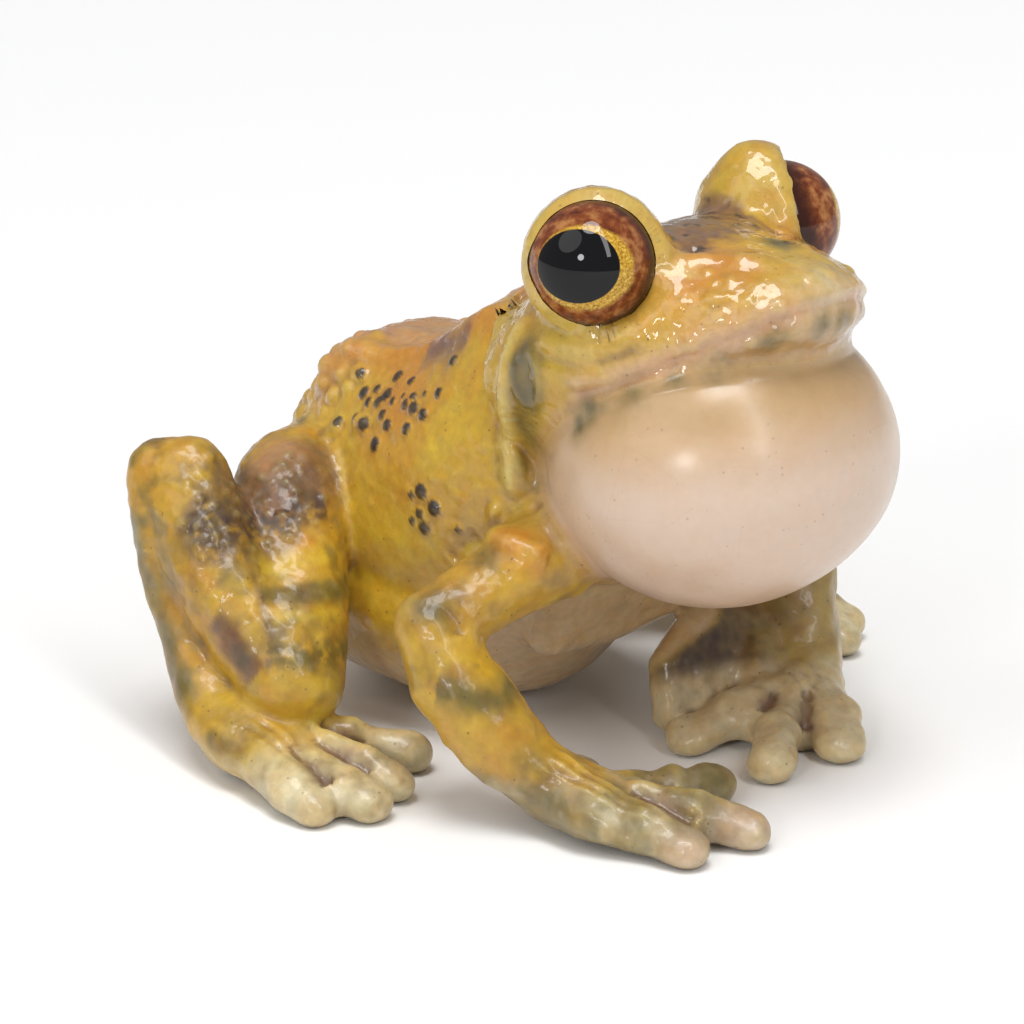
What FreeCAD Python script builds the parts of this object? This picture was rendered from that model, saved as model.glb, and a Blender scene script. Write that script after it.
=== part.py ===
"""Calling frog figurine: hollow cast torso and head, a thin cast vocal sac, set-in eyes, four cast limbs on
steel dowels, and a rubber plug in the belly.

Millimetres, +Z up. The frog stands on z = 0 and faces -Y; its left side is +X. Every driving dimension is a
cell of the spreadsheet "Dims", and the sections, primitives and places below are bound to those cells.
"""

import FreeCAD, Part
import itertools
import math
import os

from FreeCAD import Placement, Rotation, Vector

doc = FreeCAD.newDocument("CallingFrog")
sheet = doc.addObject("Spreadsheet::Sheet", "Dims")
sheet_rows = itertools.count(1)
dims = {}

SIDES = {"right": -1, "left": 1}

# Single dimensions: alias, value, meaning. Angles are in degrees.
SINGLE_DIMS = [
    ("datum_x", -1.19, "shift along X that centres the figure on the origin"),
    ("datum_y", -6.71, "shift along Y that centres the figure on the origin"),
    ("wall", 2.4, "wall of the torso and head castings"),
    ("sac_wall", 1.6, "wall of the vocal sac"),
    ("glue_gap", 0.05, "gap round a spigot, stem or plug in its hole"),
    ("neck_y", -2.8, "a point of the neck joint"),
    ("neck_z", 30.0, "the height of that point"),
    ("neck_rise", 30.0, "how far the neck points above level"),
    ("spigot_radius", 6.5, "neck spigot of the head, which enters the torso"),
    ("spigot_length", 4.5, "how far the spigot stands out"),
    ("spigot_bore_radius", 4.0, "hole through the spigot"),
    ("spigot_lift", 10.5, "spigot axis above the neck point, along the joint"),
    ("eye_radius", 6.2, "eyeball"),
    ("eye_x", 13.5, "eyeball centre"),
    ("eye_y", -9.5, "eyeball centre"),
    ("eye_z", 54.8, "eyeball centre"),
    ("gaze_out", 55.0, "gaze, outward from straight ahead"),
    ("gaze_up", 14.0, "gaze, above level"),
    ("eye_stem_radius", 1.6, "locating stem behind the eyeball"),
    ("eye_stem_length", 8.4, "tip of the stem behind the eyeball centre"),
    ("eye_cup_radius", 7.9, "casting left round the eyeball inside the head"),
    ("brow_radius", 7.1, "dome of the brow round the eye"),
    ("brow_back", 1.8, "brow centre behind the eyeball centre, along the gaze"),
    ("brow_lift", 0.4, "brow centre above the line of sight"),
    ("sac_y", -14.4, "vocal sac centre"),
    ("sac_z", 34.2, "vocal sac centre"),
    ("sac_half_width", 18.2, "vocal sac, along X"),
    ("sac_half_depth", 17.4, "vocal sac, along Y"),
    ("sac_half_height", 15.0, "vocal sac, along Z"),
    ("sac_pitch", 18.0, "how far the sac's front is tipped up"),
    ("dowel_radius", 1.0, "steel limb dowels"),
    ("dowel_length", 11.0, "steel limb dowels"),
    ("dowel_gap", 0.02, "round a dowel in its holes"),
    ("boss_radius", 2.8, "bosses inside the torso that hold the dowels"),
    ("boss_length", 6.0, "those bosses, inward from inside the wall"),
    ("shoulder_dowel_x", 7.5, "inner end of a shoulder dowel"),
    ("shoulder_dowel_y", -2.2, "its axis"),
    ("shoulder_dowel_z", 23.0, "its axis"),
    ("hip_dowel_x", 10.5, "inner end of a hip dowel"),
    ("hip_dowel_y", 29.0, "its axis"),
    ("hip_dowel_z", 22.0, "its axis"),
    ("plug_y", 23.0, "belly plug axis"),
    ("plug_radius", 3.9, "belly plug where it fills the hole"),
    ("plug_lip_radius", 4.9, "its lip, inside the torso"),
    ("plug_lip_height", 1.0, "its lip"),
    ("plug_height", 2.4, "from its outer face to the underside of its lip"),
    ("plug_bottom", 1.2, "height of its outer face"),
]

# Oval sections across Y, from tail to throat: y, z of the centre, half width, half height.
TORSO_SECTIONS = [
    (45.0, 21.5, 1.8, 2.0),
    (43.4, 21.0, 6.8, 7.2),
    (40.4, 20.6, 11.3, 12.4),
    (36.0, 20.4, 14.4, 16.5),
    (30.5, 20.4, 16.2, 19.4),
    (24.5, 20.9, 17.2, 20.0),
    (18.0, 22.4, 17.8, 21.0),
    (11.0, 24.5, 17.6, 22.4),
    (5.0, 27.8, 16.8, 21.1),
    (0.0, 31.0, 15.5, 18.5),
    (-5.0, 34.0, 13.0, 14.5),
    (-9.0, 35.5, 9.0, 10.0),
]

# The wide belly below it, from tail to chest.
BELLY_SECTIONS = [
    (41.5, 14.5, 2.4, 2.0),
    (40.0, 14.0, 9.0, 7.0),
    (36.0, 12.9, 14.4, 10.8),
    (29.0, 12.2, 17.8, 11.5),
    (21.0, 12.2, 18.8, 11.6),
    (13.0, 13.2, 17.4, 11.6),
    (7.0, 16.6, 14.0, 10.4),
    (2.5, 20.5, 11.0, 8.6),
    (-2.0, 25.0, 7.0, 5.6),
]

# The head, from nape to lip.
HEAD_SECTIONS = [
    (9.5, 37.6, 13.5, 10.0),
    (2.0, 40.4, 16.2, 11.4),
    (-4.0, 43.2, 17.2, 12.4),
    (-10.0, 45.6, 16.8, 11.8),
    (-16.0, 47.7, 14.6, 8.9),
    (-21.5, 49.4, 11.0, 6.3),
    (-25.0, 50.4, 8.2, 4.7),
    (-27.0, 50.8, 5.4, 3.3),
    (-27.9, 50.9, 2.4, 1.5),
]

# Limb bones from root to tip. A point is x outward from the midplane, y, z, half width, half thickness.
# Each bone gets round ends past its first and last point.
FOOT_BONES = ("tarsus", "sole", "outer_toe", "middle_toe", "short_toe", "inner_toe")
HEEL_HEIGHT = 28.2

# The left foot is planted this much further out and further forward than the right one.
LEFT_FOOT_SHIFT = (2.6, -2.8)

RIGHT_HIND_LEG = {
    "thigh": [
        (13.0, 33.0, 24.5, 5.6, 5.6),
        (17.5, 31.0, 24.4, 6.2, 6.2),
        (22.5, 25.8, 19.5, 6.1, 6.1),
        (27.0, 20.5, 14.0, 5.8, 5.8),
        (30.4, 16.6, 10.0, 5.5, 5.5),
    ],
    "shank": [
        (30.8, 18.2, 11.2, 4.8, 4.8),
        (31.2, 23.0, 15.5, 5.3, 5.3),
        (31.0, 28.5, 21.0, 5.3, 5.3),
        (30.2, 33.2, 27.2, 4.6, 4.6),
    ],
    "tarsus": [
        (31.6, 35.6, 28.2, 3.5, 3.5),
        (33.3, 32.4, 18.5, 3.0, 3.0),
        (34.4, 27.4, 10.8, 3.1, 3.1),
        (35.6, 22.6, 6.0, 3.5, 3.3),
        (35.8, 17.0, 4.0, 4.0, 3.4),
    ],
    "sole": [
        (35.0, 19.0, 3.8, 4.4, 3.6),
        (34.2, 12.5, 3.2, 6.0, 3.1),
        (33.6, 8.0, 2.0, 5.6, 2.3),
    ],
    "outer_toe": [
        (36.8, 11.5, 2.8, 2.7, 2.6),
        (38.0, 7.0, 2.3, 2.7, 2.3),
        (37.8, 4.6, 1.7, 2.5, 2.0),
    ],
    "middle_toe": [
        (34.0, 9.5, 2.8, 2.6, 2.6),
        (33.8, 4.0, 2.3, 2.7, 2.3),
        (33.4, 1.6, 1.7, 2.6, 2.0),
    ],
    "short_toe": [
        (31.4, 10.8, 3.2, 2.5, 2.5),
        (29.6, 6.0, 2.7, 2.3, 2.3),
        (28.4, 3.2, 1.7, 2.2, 2.0),
    ],
    "inner_toe": [
        (31.5, 16.0, 4.2, 2.6, 2.5),
        (26.4, 12.0, 3.2, 2.4, 2.3),
        (22.0, 7.8, 1.8, 2.3, 2.1),
    ],
}


def plant_foot(leg, shift):
    """Move the foot of a leg on the ground, while its heel stays."""
    moved = dict(leg)
    for bone_name in FOOT_BONES:
        moved[bone_name] = []
        for x, y, z, half_width, half_height in leg[bone_name]:
            share = 1 - z / HEEL_HEIGHT
            moved[bone_name].append((round(x + share * shift[0], 2), round(y + share * shift[1], 2), z,
                                     half_width, half_height))
    return moved


HIND_LEGS = {
    "right": RIGHT_HIND_LEG,
    "left": plant_foot(RIGHT_HIND_LEG, LEFT_FOOT_SHIFT),
}

UPPER_ARM = [
    (10.0, -3.2, 24.5, 4.8, 4.8),
    (15.0, -4.0, 24.0, 4.6, 4.6),
    (20.5, -3.0, 22.0, 3.9, 3.9),
    (25.5, -1.3, 19.8, 3.6, 3.6),
]

FORELEGS = {
    "right": {
        "upper_arm": UPPER_ARM,
        "forearm": [
            (26.6, -1.0, 19.2, 3.6, 3.6),
            (26.8, -3.8, 14.6, 4.3, 4.3),
            (25.0, -7.6, 9.6, 4.3, 4.3),
            (22.8, -11.4, 5.6, 3.9, 3.7),
            (21.4, -14.2, 4.0, 3.9, 3.5),
        ],
        "palm": [
            (21.6, -13.0, 4.2, 4.1, 3.6),
            (20.2, -17.5, 3.3, 5.0, 3.1),
            (18.0, -22.0, 2.1, 5.0, 2.4),
        ],
        "outer_finger": [
            (20.6, -18.5, 3.0, 2.6, 2.6),
            (19.8, -24.0, 2.4, 2.6, 2.3),
            (18.8, -27.8, 1.7, 2.4, 2.0),
        ],
        "long_finger": [
            (17.2, -20.0, 3.0, 2.8, 2.6),
            (14.2, -25.2, 2.6, 2.8, 2.4),
            (11.4, -29.2, 1.6, 2.3, 1.9),
        ],
        "second_finger": [
            (18.0, -17.0, 3.3, 2.5, 2.4),
            (11.0, -18.8, 2.9, 2.4, 2.3),
            (5.6, -19.4, 1.7, 2.3, 2.0),
        ],
        "inner_finger": [
            (19.8, -15.0, 3.6, 2.3, 2.3),
            (16.2, -11.0, 2.9, 2.3, 2.2),
            (13.6, -8.0, 1.7, 2.1, 1.9),
        ],
    },
    "left": {
        "upper_arm": UPPER_ARM,
        "forearm": [
            (26.2, -1.0, 19.2, 3.6, 3.6),
            (24.6, -3.0, 14.6, 4.2, 4.2),
            (22.9, -5.6, 9.8, 4.3, 4.3),
            (21.2, -8.0, 5.9, 4.2, 3.8),
            (18.6, -9.6, 4.2, 4.4, 3.5),
        ],
        "palm": [
            (20.0, -8.8, 4.2, 4.4, 3.6),
            (16.4, -11.0, 3.4, 5.6, 3.1),
            (13.4, -13.2, 2.0, 5.6, 2.3),
        ],
        "outer_finger": [
            (17.6, -12.4, 3.1, 3.0, 2.8),
            (14.8, -17.4, 2.6, 3.2, 2.5),
            (12.0, -21.0, 1.7, 2.9, 2.0),
        ],
        "long_finger": [
            (14.2, -12.4, 3.0, 2.6, 2.5),
            (7.4, -16.6, 2.6, 2.5, 2.3),
            (2.6, -19.8, 1.7, 2.5, 2.0),
        ],
        "second_finger": [
            (14.0, -11.0, 3.2, 3.2, 2.7),
            (7.4, -10.2, 2.8, 3.2, 2.5),
            (2.0, -9.2, 1.7, 2.6, 2.0),
        ],
        "inner_finger": [
            (19.4, -7.5, 3.7, 2.6, 2.6),
            (18.2, -1.8, 3.1, 2.6, 2.5),
            (16.8, 3.2, 2.0, 2.5, 2.3),
        ],
    },
}

# Sections of a round end: distance past the end as a share of its half width, and the share of the size left.
ROUND_END = [(0.50, 0.87), (0.85, 0.53), (0.98, 0.20)]

# Edge of the blocks that cut away the ground and what lies past the neck joint.
BLOCK_SIZE = 200.0


def add_dim(alias, value, meaning=""):
    row = next(sheet_rows)
    sheet.set(f"A{row}", alias)
    sheet.set(f"B{row}", str(value))
    sheet.set(f"C{row}", meaning)
    sheet.setAlias(f"B{row}", alias)
    dims[alias] = value


def add_table(prefix, fields, table):
    for index, row in enumerate(table, start=1):
        for field, value in zip(fields, row):
            add_dim(f"{prefix}_{index}_{field}", value)


def fill_sheet():
    for alias, value, meaning in SINGLE_DIMS:
        add_dim(alias, value, meaning)
    body_fields = ("y", "z", "half_width", "half_height")
    add_table("torso", body_fields, TORSO_SECTIONS)
    add_table("belly", body_fields, BELLY_SECTIONS)
    add_table("head", body_fields, HEAD_SECTIONS)
    limb_fields = ("x", "y", "z", "half_width", "half_height")
    for limb, legs in (("hind", HIND_LEGS), ("fore", FORELEGS)):
        for side, bones in legs.items():
            for bone_name, points in bones.items():
                add_table(f"{side}_{limb}_{bone_name}", limb_fields, points)
    doc.recompute()


def place(item, x="0", y="0", z="0", rotation=None):
    """Put an item at a place given by expressions, measured before the datum shift."""
    if rotation is not None:
        item.Placement = Placement(Vector(), rotation)
    item.setExpression(".Placement.Base.x", f"{x} + Dims.datum_x")
    item.setExpression(".Placement.Base.y", f"{y} + Dims.datum_y")
    item.setExpression(".Placement.Base.z", z)
    return item


def make(kind, name, **sizes):
    item = doc.addObject(kind, name)
    for size, expression in sizes.items():
        item.setExpression(size, expression)
    return item


def cut(name, base, tool):
    item = doc.addObject("Part::Cut", name)
    item.Base = base
    item.Tool = tool
    return item


def common(name, base, tool):
    item = doc.addObject("Part::Common", name)
    item.Base = base
    item.Tool = tool
    return item


def fuse(name, pieces):
    item = doc.addObject("Part::MultiFuse", name)
    item.Shapes = pieces
    return item


def loft(name, sections):
    item = doc.addObject("Part::Loft", name)
    item.Sections = sections
    item.Solid = True
    return item


def oval(name, half_width, half_height, tall, sideways, upward):
    """An oval section whose long axis points up on a tall piece and sideways on a wide one."""
    if tall:
        rotation = Rotation(upward, -sideways, sideways.cross(upward), "XYZ")
        return make("Part::Ellipse", name, MajorRadius=half_height, MinorRadius=half_width), rotation
    rotation = Rotation(sideways, upward, sideways.cross(upward), "XYZ")
    return make("Part::Ellipse", name, MajorRadius=half_width, MinorRadius=half_height), rotation


def body_loft(name, prefix, indices, inset="0"):
    """A loft through the sections of the torso, belly or head, inset all round by a wall."""
    tall = dims[f"{prefix}_1_half_height"] > dims[f"{prefix}_1_half_width"]
    sections = []
    for index in indices:
        cells = f"Dims.{prefix}_{index}"
        section, rotation = oval(f"{name}_section_{index}", f"{cells}_half_width - {inset}",
                                 f"{cells}_half_height - {inset}", tall, Vector(1, 0, 0), Vector(0, 0, 1))
        sections.append(place(section, y=f"{cells}_y", z=f"{cells}_z", rotation=rotation))
    return loft(name, sections)


def bone(name, prefix, count):
    """A bone of a right limb: oval sections square to its line, with round ends."""
    points = [Vector(-dims[f"{prefix}_{i}_x"], dims[f"{prefix}_{i}_y"], dims[f"{prefix}_{i}_z"])
              for i in range(1, count + 1)]
    sections = []

    def add_section(index, tangent, reach, share):
        cells = f"Dims.{prefix}_{index}"
        sideways = tangent.cross(Vector(0, 0, 1)).normalize()
        upward = sideways.cross(tangent).normalize()
        section, rotation = oval(f"{name}_section_{len(sections) + 1}", f"{cells}_half_width * {share}",
                                 f"{cells}_half_height * {share}", False, sideways, upward)
        offset = [f"{getattr(tangent, axis) * reach:.4f} * {cells}_half_width" for axis in "xyz"]
        sections.append(place(section, f"{offset[0]} - {cells}_x", f"{cells}_y + {offset[1]}",
                              f"{cells}_z + {offset[2]}", rotation))

    first_tangent = (points[1] - points[0]).normalize()
    last_tangent = (points[-1] - points[-2]).normalize()
    for reach, share in reversed(ROUND_END):
        add_section(1, first_tangent, -reach, share)
    for index, point in enumerate(points, start=1):
        before = points[max(index - 2, 0)]
        after = points[min(index, count - 1)]
        add_section(index, (after - before).normalize(), 0, 1)
    for reach, share in ROUND_END:
        add_section(count, last_tangent, reach, share)
    return loft(name, sections)


def neck_axes():
    """The neck's own directions: forward along it, and up along its joint."""
    rise = math.radians(dims["neck_rise"])
    return Vector(0, -math.cos(rise), math.sin(rise)), Vector(0, math.sin(rise), math.cos(rise))


def neck_block(name, ahead):
    """Everything ahead of the neck joint, starting the given expression ahead of it."""
    block = doc.addObject("Part::Box", name)
    block.Length = block.Width = block.Height = BLOCK_SIZE
    forward, upward = neck_axes()
    sideways = Vector(1, 0, 0)
    rotation = Rotation(sideways, upward, forward, "XYZ")
    corner = (sideways + upward) * (-BLOCK_SIZE / 2)
    return place(block, f"{corner.x:.4f}",
                 f"Dims.neck_y + {corner.y:.4f} + {forward.y:.6f} * ({ahead})",
                 f"Dims.neck_z + {corner.z:.4f} + {forward.z:.6f} * ({ahead})", rotation)


def neck_cylinder(name, radius, start, length):
    """A cylinder square to the neck joint on the spigot's axis, from start ahead of the joint."""
    forward, upward = neck_axes()
    cylinder = make("Part::Cylinder", name, Radius=radius, Height=length)
    return place(cylinder,
                 y=f"Dims.neck_y + {upward.y:.6f} * Dims.spigot_lift + {forward.y:.6f} * ({start})",
                 z=f"Dims.neck_z + {upward.z:.6f} * Dims.spigot_lift + {forward.z:.6f} * ({start})",
                 rotation=Rotation(Vector(0, 0, 1), forward))


def gaze(side):
    out = math.radians(dims["gaze_out"])
    up = math.radians(dims["gaze_up"])
    return Vector(side * math.sin(out) * math.cos(up), -math.cos(out) * math.cos(up), math.sin(up))


def eye_place(item, side, ahead="0", lift="0", rotation=None):
    """Put an item ahead of the eyeball centre on the line of sight, and then lift it."""
    sight = gaze(side)
    return place(item, f"{side} * Dims.eye_x + {sight.x:.6f} * ({ahead})",
                 f"Dims.eye_y + {sight.y:.6f} * ({ahead})",
                 f"Dims.eye_z + {sight.z:.6f} * ({ahead}) + {lift}", rotation)


def eye_ball(name, side, radius, ahead="0", lift="0"):
    return eye_place(make("Part::Sphere", name, Radius=radius), side, ahead, lift)


def eye_solid(name, side, gap):
    """The eyeball and its stem, grown by a gap: the eye itself, or the socket it sits in."""
    ball = eye_ball(f"{name}_ball", side, f"Dims.eye_radius + {gap}")
    stem = make("Part::Cylinder", f"{name}_stem", Radius=f"Dims.eye_stem_radius + {gap}",
                Height=f"Dims.eye_stem_length + {gap}")
    eye_place(stem, side, rotation=Rotation(Vector(0, 0, 1), -gaze(side)))
    return fuse(name, [ball, stem])


def dowel(name, joint, side, grow):
    """A limb dowel along X, grown by a gap all round: the dowel itself, or its hole."""
    pin = make("Part::Cylinder", name, Radius=f"Dims.dowel_radius + {grow}",
               Height=f"Dims.dowel_length + 2 * {grow}")
    return place(pin, f"{side} * (Dims.{joint}_dowel_x - {grow})", f"Dims.{joint}_dowel_y",
                 f"Dims.{joint}_dowel_z", Rotation(Vector(0, 0, 1), Vector(side, 0, 0)))


def boss(joint, side):
    block = make("Part::Cylinder", f"{joint}_boss_{side_name(side)}", Radius="Dims.boss_radius",
                 Height="Dims.boss_length")
    return place(block, f"{side} * (Dims.{joint}_dowel_x - Dims.wall / 2)", f"Dims.{joint}_dowel_y",
                 f"Dims.{joint}_dowel_z", Rotation(Vector(0, 0, 1), Vector(side, 0, 0)))


def side_name(side):
    return "right" if side < 0 else "left"


def make_body_outlines():
    back = body_loft("back_outline", "torso", range(1, len(TORSO_SECTIONS) + 1))
    belly = body_loft("belly_outline", "belly", range(1, len(BELLY_SECTIONS) + 1))
    torso = cut("torso_outline", fuse("torso_outline_whole", [back, belly]), neck_block("ahead_of_neck", "0"))
    head_loft = body_loft("head_loft", "head", range(1, len(HEAD_SECTIONS) + 1))
    brows = [eye_ball(f"{name}_brow", side, "Dims.brow_radius", "-Dims.brow_back", "Dims.brow_lift")
             for name, side in SIDES.items()]
    head_all = fuse("head_outline_whole", [head_loft] + brows)
    head = common("head_outline", head_all, neck_block("head_side_of_neck", "0"))
    return torso, head


def make_torso(torso_outline):
    back = body_loft("back_hollow", "torso", range(2, len(TORSO_SECTIONS)), "Dims.wall")
    belly = body_loft("belly_hollow", "belly", range(2, len(BELLY_SECTIONS)), "Dims.wall")
    hollow = cut("torso_hollow_behind_neck", fuse("torso_hollow_whole", [back, belly]),
                 neck_block("ahead_of_neck_wall", "-Dims.wall"))
    bosses = [boss(joint, side) for joint in ("shoulder", "hip") for side in SIDES.values()]
    hollow = cut("torso_hollow", hollow, fuse("torso_bosses", bosses))
    holes = [dowel(f"{name}_{joint}_hole", joint, side, "Dims.dowel_gap")
             for joint in ("shoulder", "hip") for name, side in SIDES.items()]
    holes.append(neck_cylinder("neck_hole", "Dims.spigot_radius + Dims.glue_gap",
                               "-Dims.spigot_length - 1", "Dims.spigot_length + 2"))
    pour_hole = make("Part::Cylinder", "pour_hole", Radius="Dims.plug_radius + Dims.glue_gap",
                     Height="Dims.plug_height + 4")
    holes.append(place(pour_hole, y="Dims.plug_y", z="Dims.plug_bottom - 4"))
    shell = cut("torso_casting", torso_outline, hollow)
    return cut("torso_shell", shell, fuse("torso_holes", holes))


def make_head(head_outline):
    hollow_loft = body_loft("head_hollow_whole", "head", range(1, len(HEAD_SECTIONS) - 1), "Dims.wall")
    hollow = common("head_hollow_ahead_of_neck", hollow_loft, neck_block("ahead_of_head_wall", "Dims.wall"))
    cups = [eye_ball(f"{name}_eye_cup", side, "Dims.eye_cup_radius") for name, side in SIDES.items()]
    hollow = cut("head_hollow", hollow, fuse("eye_cups", cups))
    spigot = neck_cylinder("neck_spigot", "Dims.spigot_radius", "-Dims.spigot_length",
                           "Dims.spigot_length + Dims.wall / 2")
    casting = fuse("head_casting", [cut("head_walls", head_outline, hollow), spigot])
    sockets = [eye_solid(f"{name}_socket", side, "Dims.glue_gap") for name, side in SIDES.items()]
    bore = neck_cylinder("spigot_bore", "Dims.spigot_bore_radius", "-Dims.spigot_length - 1",
                         "Dims.spigot_length + Dims.wall + 2")
    return cut("head_shell", casting, fuse("head_holes", sockets + [bore]))


def make_sac_ball(name, inset):
    ball = make("Part::Ellipsoid", name, Radius1=f"Dims.sac_half_height - {inset}",
                Radius2=f"Dims.sac_half_width - {inset}", Radius3=f"Dims.sac_half_depth - {inset}")
    tip_up = Rotation(Vector(1, 0, 0), -dims["sac_pitch"])
    return place(ball, y="Dims.sac_y", z="Dims.sac_z", rotation=tip_up)


def make_sac(sac_ball, torso_outline, head_outline):
    skin = cut("sac_skin", sac_ball, make_sac_ball("sac_hollow", "Dims.sac_wall"))
    return cut("vocal_sac", skin, fuse("sac_seat", [torso_outline, head_outline]))


def make_limb(name, side, prefix, bones, joint, cutters):
    """A limb built on the right of the torso, and mirrored across the midplane where it is a left one."""
    parts = [bone(f"{name}_{bone_name}", f"{prefix}_{bone_name}", len(points))
             for bone_name, points in bones.items()]
    hole = dowel(f"{name}_dowel_hole", joint, SIDES["right"], "Dims.dowel_gap")
    limb = cut(f"{name}_fitted", fuse(f"{name}_whole", parts), fuse(f"{name}_cutters", cutters + [hole]))
    if side == SIDES["right"]:
        return limb
    mirrored = doc.addObject("Part::Mirroring", name)
    mirrored.Source = limb
    mirrored.Normal = Vector(1, 0, 0)
    mirrored.setExpression(".Base.x", "Dims.datum_x")
    return mirrored


def make_ground():
    ground = doc.addObject("Part::Box", "ground")
    ground.Length = ground.Width = ground.Height = BLOCK_SIZE
    return place(ground, str(-BLOCK_SIZE / 2), str(-BLOCK_SIZE / 2), str(-BLOCK_SIZE))


def make_plug():
    stopper = make("Part::Cylinder", "plug_stopper", Radius="Dims.plug_radius", Height="Dims.plug_height")
    place(stopper, y="Dims.plug_y", z="Dims.plug_bottom")
    lip = make("Part::Cylinder", "plug_lip", Radius="Dims.plug_lip_radius", Height="Dims.plug_lip_height")
    place(lip, y="Dims.plug_y", z="Dims.plug_bottom + Dims.plug_height")
    return fuse("belly_plug", [stopper, lip])


def make_pieces():
    torso_outline, head_outline = make_body_outlines()
    sac_ball = make_sac_ball("sac_outline", "0")
    ground = make_ground()
    pieces = {
        "torso_shell": make_torso(torso_outline),
        "head_shell": make_head(head_outline),
        "vocal_sac": make_sac(sac_ball, torso_outline, head_outline),
        "belly_plug": make_plug(),
    }
    for name, side in SIDES.items():
        pieces[f"{name}_eye"] = eye_solid(f"{name}_eye", side, "0")
        pieces[f"{name}_foreleg"] = make_limb(f"{name}_foreleg", side, f"{name}_fore", FORELEGS[name],
                                              "shoulder", [torso_outline, sac_ball, ground])
        pieces[f"{name}_hind_leg"] = make_limb(f"{name}_hind_leg", side, f"{name}_hind", HIND_LEGS[name],
                                               "hip", [torso_outline, ground])
        pieces[f"{name}_shoulder_dowel"] = dowel(f"{name}_shoulder_dowel", "shoulder", side, "0")
        pieces[f"{name}_hip_dowel"] = dowel(f"{name}_hip_dowel", "hip", side, "0")
    return pieces


def check_document(pieces):
    for item in doc.Objects:
        if {"Invalid", "Error"} & set(item.State):
            raise RuntimeError(f"{item.Name} failed: {item.State}")
        if item.TypeId == "Part::Loft" and item.Shape.Volume <= 0:
            raise RuntimeError(f"{item.Name} is twisted")
    for name, item in pieces.items():
        if item.Shape.isNull() or not item.Shape.isValid() or len(item.Shape.Solids) != 1:
            raise RuntimeError(f"{name} is not one valid solid")


def main():
    fill_sheet()
    pieces = make_pieces()
    doc.recompute()
    check_document(pieces)
    os.makedirs("parts", exist_ok=True)
    for name, item in pieces.items():
        item.Label = name
        item.Shape.exportStep(os.path.join("parts", f"{name}.step"))
        print(f"{name}: {len(item.Shape.Solids)} solid, {item.Shape.Volume:.1f} cubic mm")


main()
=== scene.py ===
"""Calling frog figurine: the painted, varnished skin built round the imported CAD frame."""

import math

import bmesh
import bpy
import numpy as np
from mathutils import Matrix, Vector
from mathutils.bvhtree import BVHTree


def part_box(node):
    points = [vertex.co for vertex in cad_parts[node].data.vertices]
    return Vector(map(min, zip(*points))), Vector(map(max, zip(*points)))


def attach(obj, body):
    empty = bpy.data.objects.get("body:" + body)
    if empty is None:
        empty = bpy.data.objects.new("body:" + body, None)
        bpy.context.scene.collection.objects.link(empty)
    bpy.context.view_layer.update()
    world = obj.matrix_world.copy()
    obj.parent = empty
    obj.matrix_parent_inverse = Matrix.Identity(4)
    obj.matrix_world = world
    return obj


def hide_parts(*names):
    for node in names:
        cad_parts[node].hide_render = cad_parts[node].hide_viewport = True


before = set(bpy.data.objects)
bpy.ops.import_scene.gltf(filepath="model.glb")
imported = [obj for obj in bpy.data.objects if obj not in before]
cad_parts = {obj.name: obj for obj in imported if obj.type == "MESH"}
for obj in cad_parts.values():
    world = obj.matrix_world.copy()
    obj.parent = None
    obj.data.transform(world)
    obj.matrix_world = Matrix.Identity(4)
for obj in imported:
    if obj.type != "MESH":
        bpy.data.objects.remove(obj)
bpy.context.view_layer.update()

MM = 0.001
SKIN_SLOTS = {
    "torso_shell": "body_resin",
    "head_shell": "head_resin",
    "vocal_sac": "sac_resin",
    "right_foreleg": "limb_resin",
    "left_foreleg": "limb_resin",
    "right_hind_leg": "limb_resin",
    "left_hind_leg": "limb_resin",
}
SIDES = {"right": -1, "left": 1}
VOXEL = 0.33


# ---- camera

def look_from(target, azimuth, elevation, distance):
    """A camera place and turn, in metres, looking at the target."""
    a, e = math.radians(azimuth), math.radians(elevation)
    back = Vector((math.sin(a) * math.cos(e), -math.cos(a) * math.cos(e), math.sin(e)))
    return Vector(target) + back * distance, (-back).to_track_quat("-Z", "Y").to_euler()


camera = bpy.data.objects.new("camera", bpy.data.cameras.new("camera"))
bpy.context.scene.collection.objects.link(camera)
camera.location, camera.rotation_euler = look_from((-0.01619, -0.00671, 0.028), -44, 18, 0.3)
camera.data.lens = 105.47
camera.data.sensor_width = 36
camera.data.clip_start = 0.01
bpy.context.scene.camera = camera


# ---- frame helpers, in millimetres

def corners(node):
    low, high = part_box(node)
    return np.array(low) / MM, np.array(high) / MM


def read_array(collection, attribute, width=1, kind=float):
    """One attribute of every item in a mesh's collection."""
    out = np.empty(len(collection) * width, kind)
    collection.foreach_get(attribute, out)
    return out.reshape(-1, width) if width > 1 else out


def node_mesh(node):
    """Corner places in mm and triangles of a CAD node."""
    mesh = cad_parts[node].data
    mesh.calc_loop_triangles()
    return read_array(mesh.vertices, "co", 3) / MM, read_array(mesh.loop_triangles, "vertices", 3, int)


def eye_of(side):
    """Centre and radius of an eyeball. Its stem points inward, so the centre's X comes from the outer side."""
    low, high = corners(side + "_eye")
    radius = (high[2] - low[2]) / 2
    outer = low[0] + radius if side == "right" else high[0] - radius
    return np.array([outer, low[1] + radius, (low[2] + high[2]) / 2]), radius


EYES = {side: eye_of(side) for side in SIDES}
MID_X = (EYES["right"][0][0] + EYES["left"][0][0]) / 2
GAZE_OUT, GAZE_UP = math.radians(55), math.radians(14)


def heading(side, out, up):
    """A direction turned outward from straight ahead and up, on one side of the head."""
    return np.array([SIDES[side] * math.sin(out) * math.cos(up), -math.cos(out) * math.cos(up), math.sin(up)])


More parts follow.
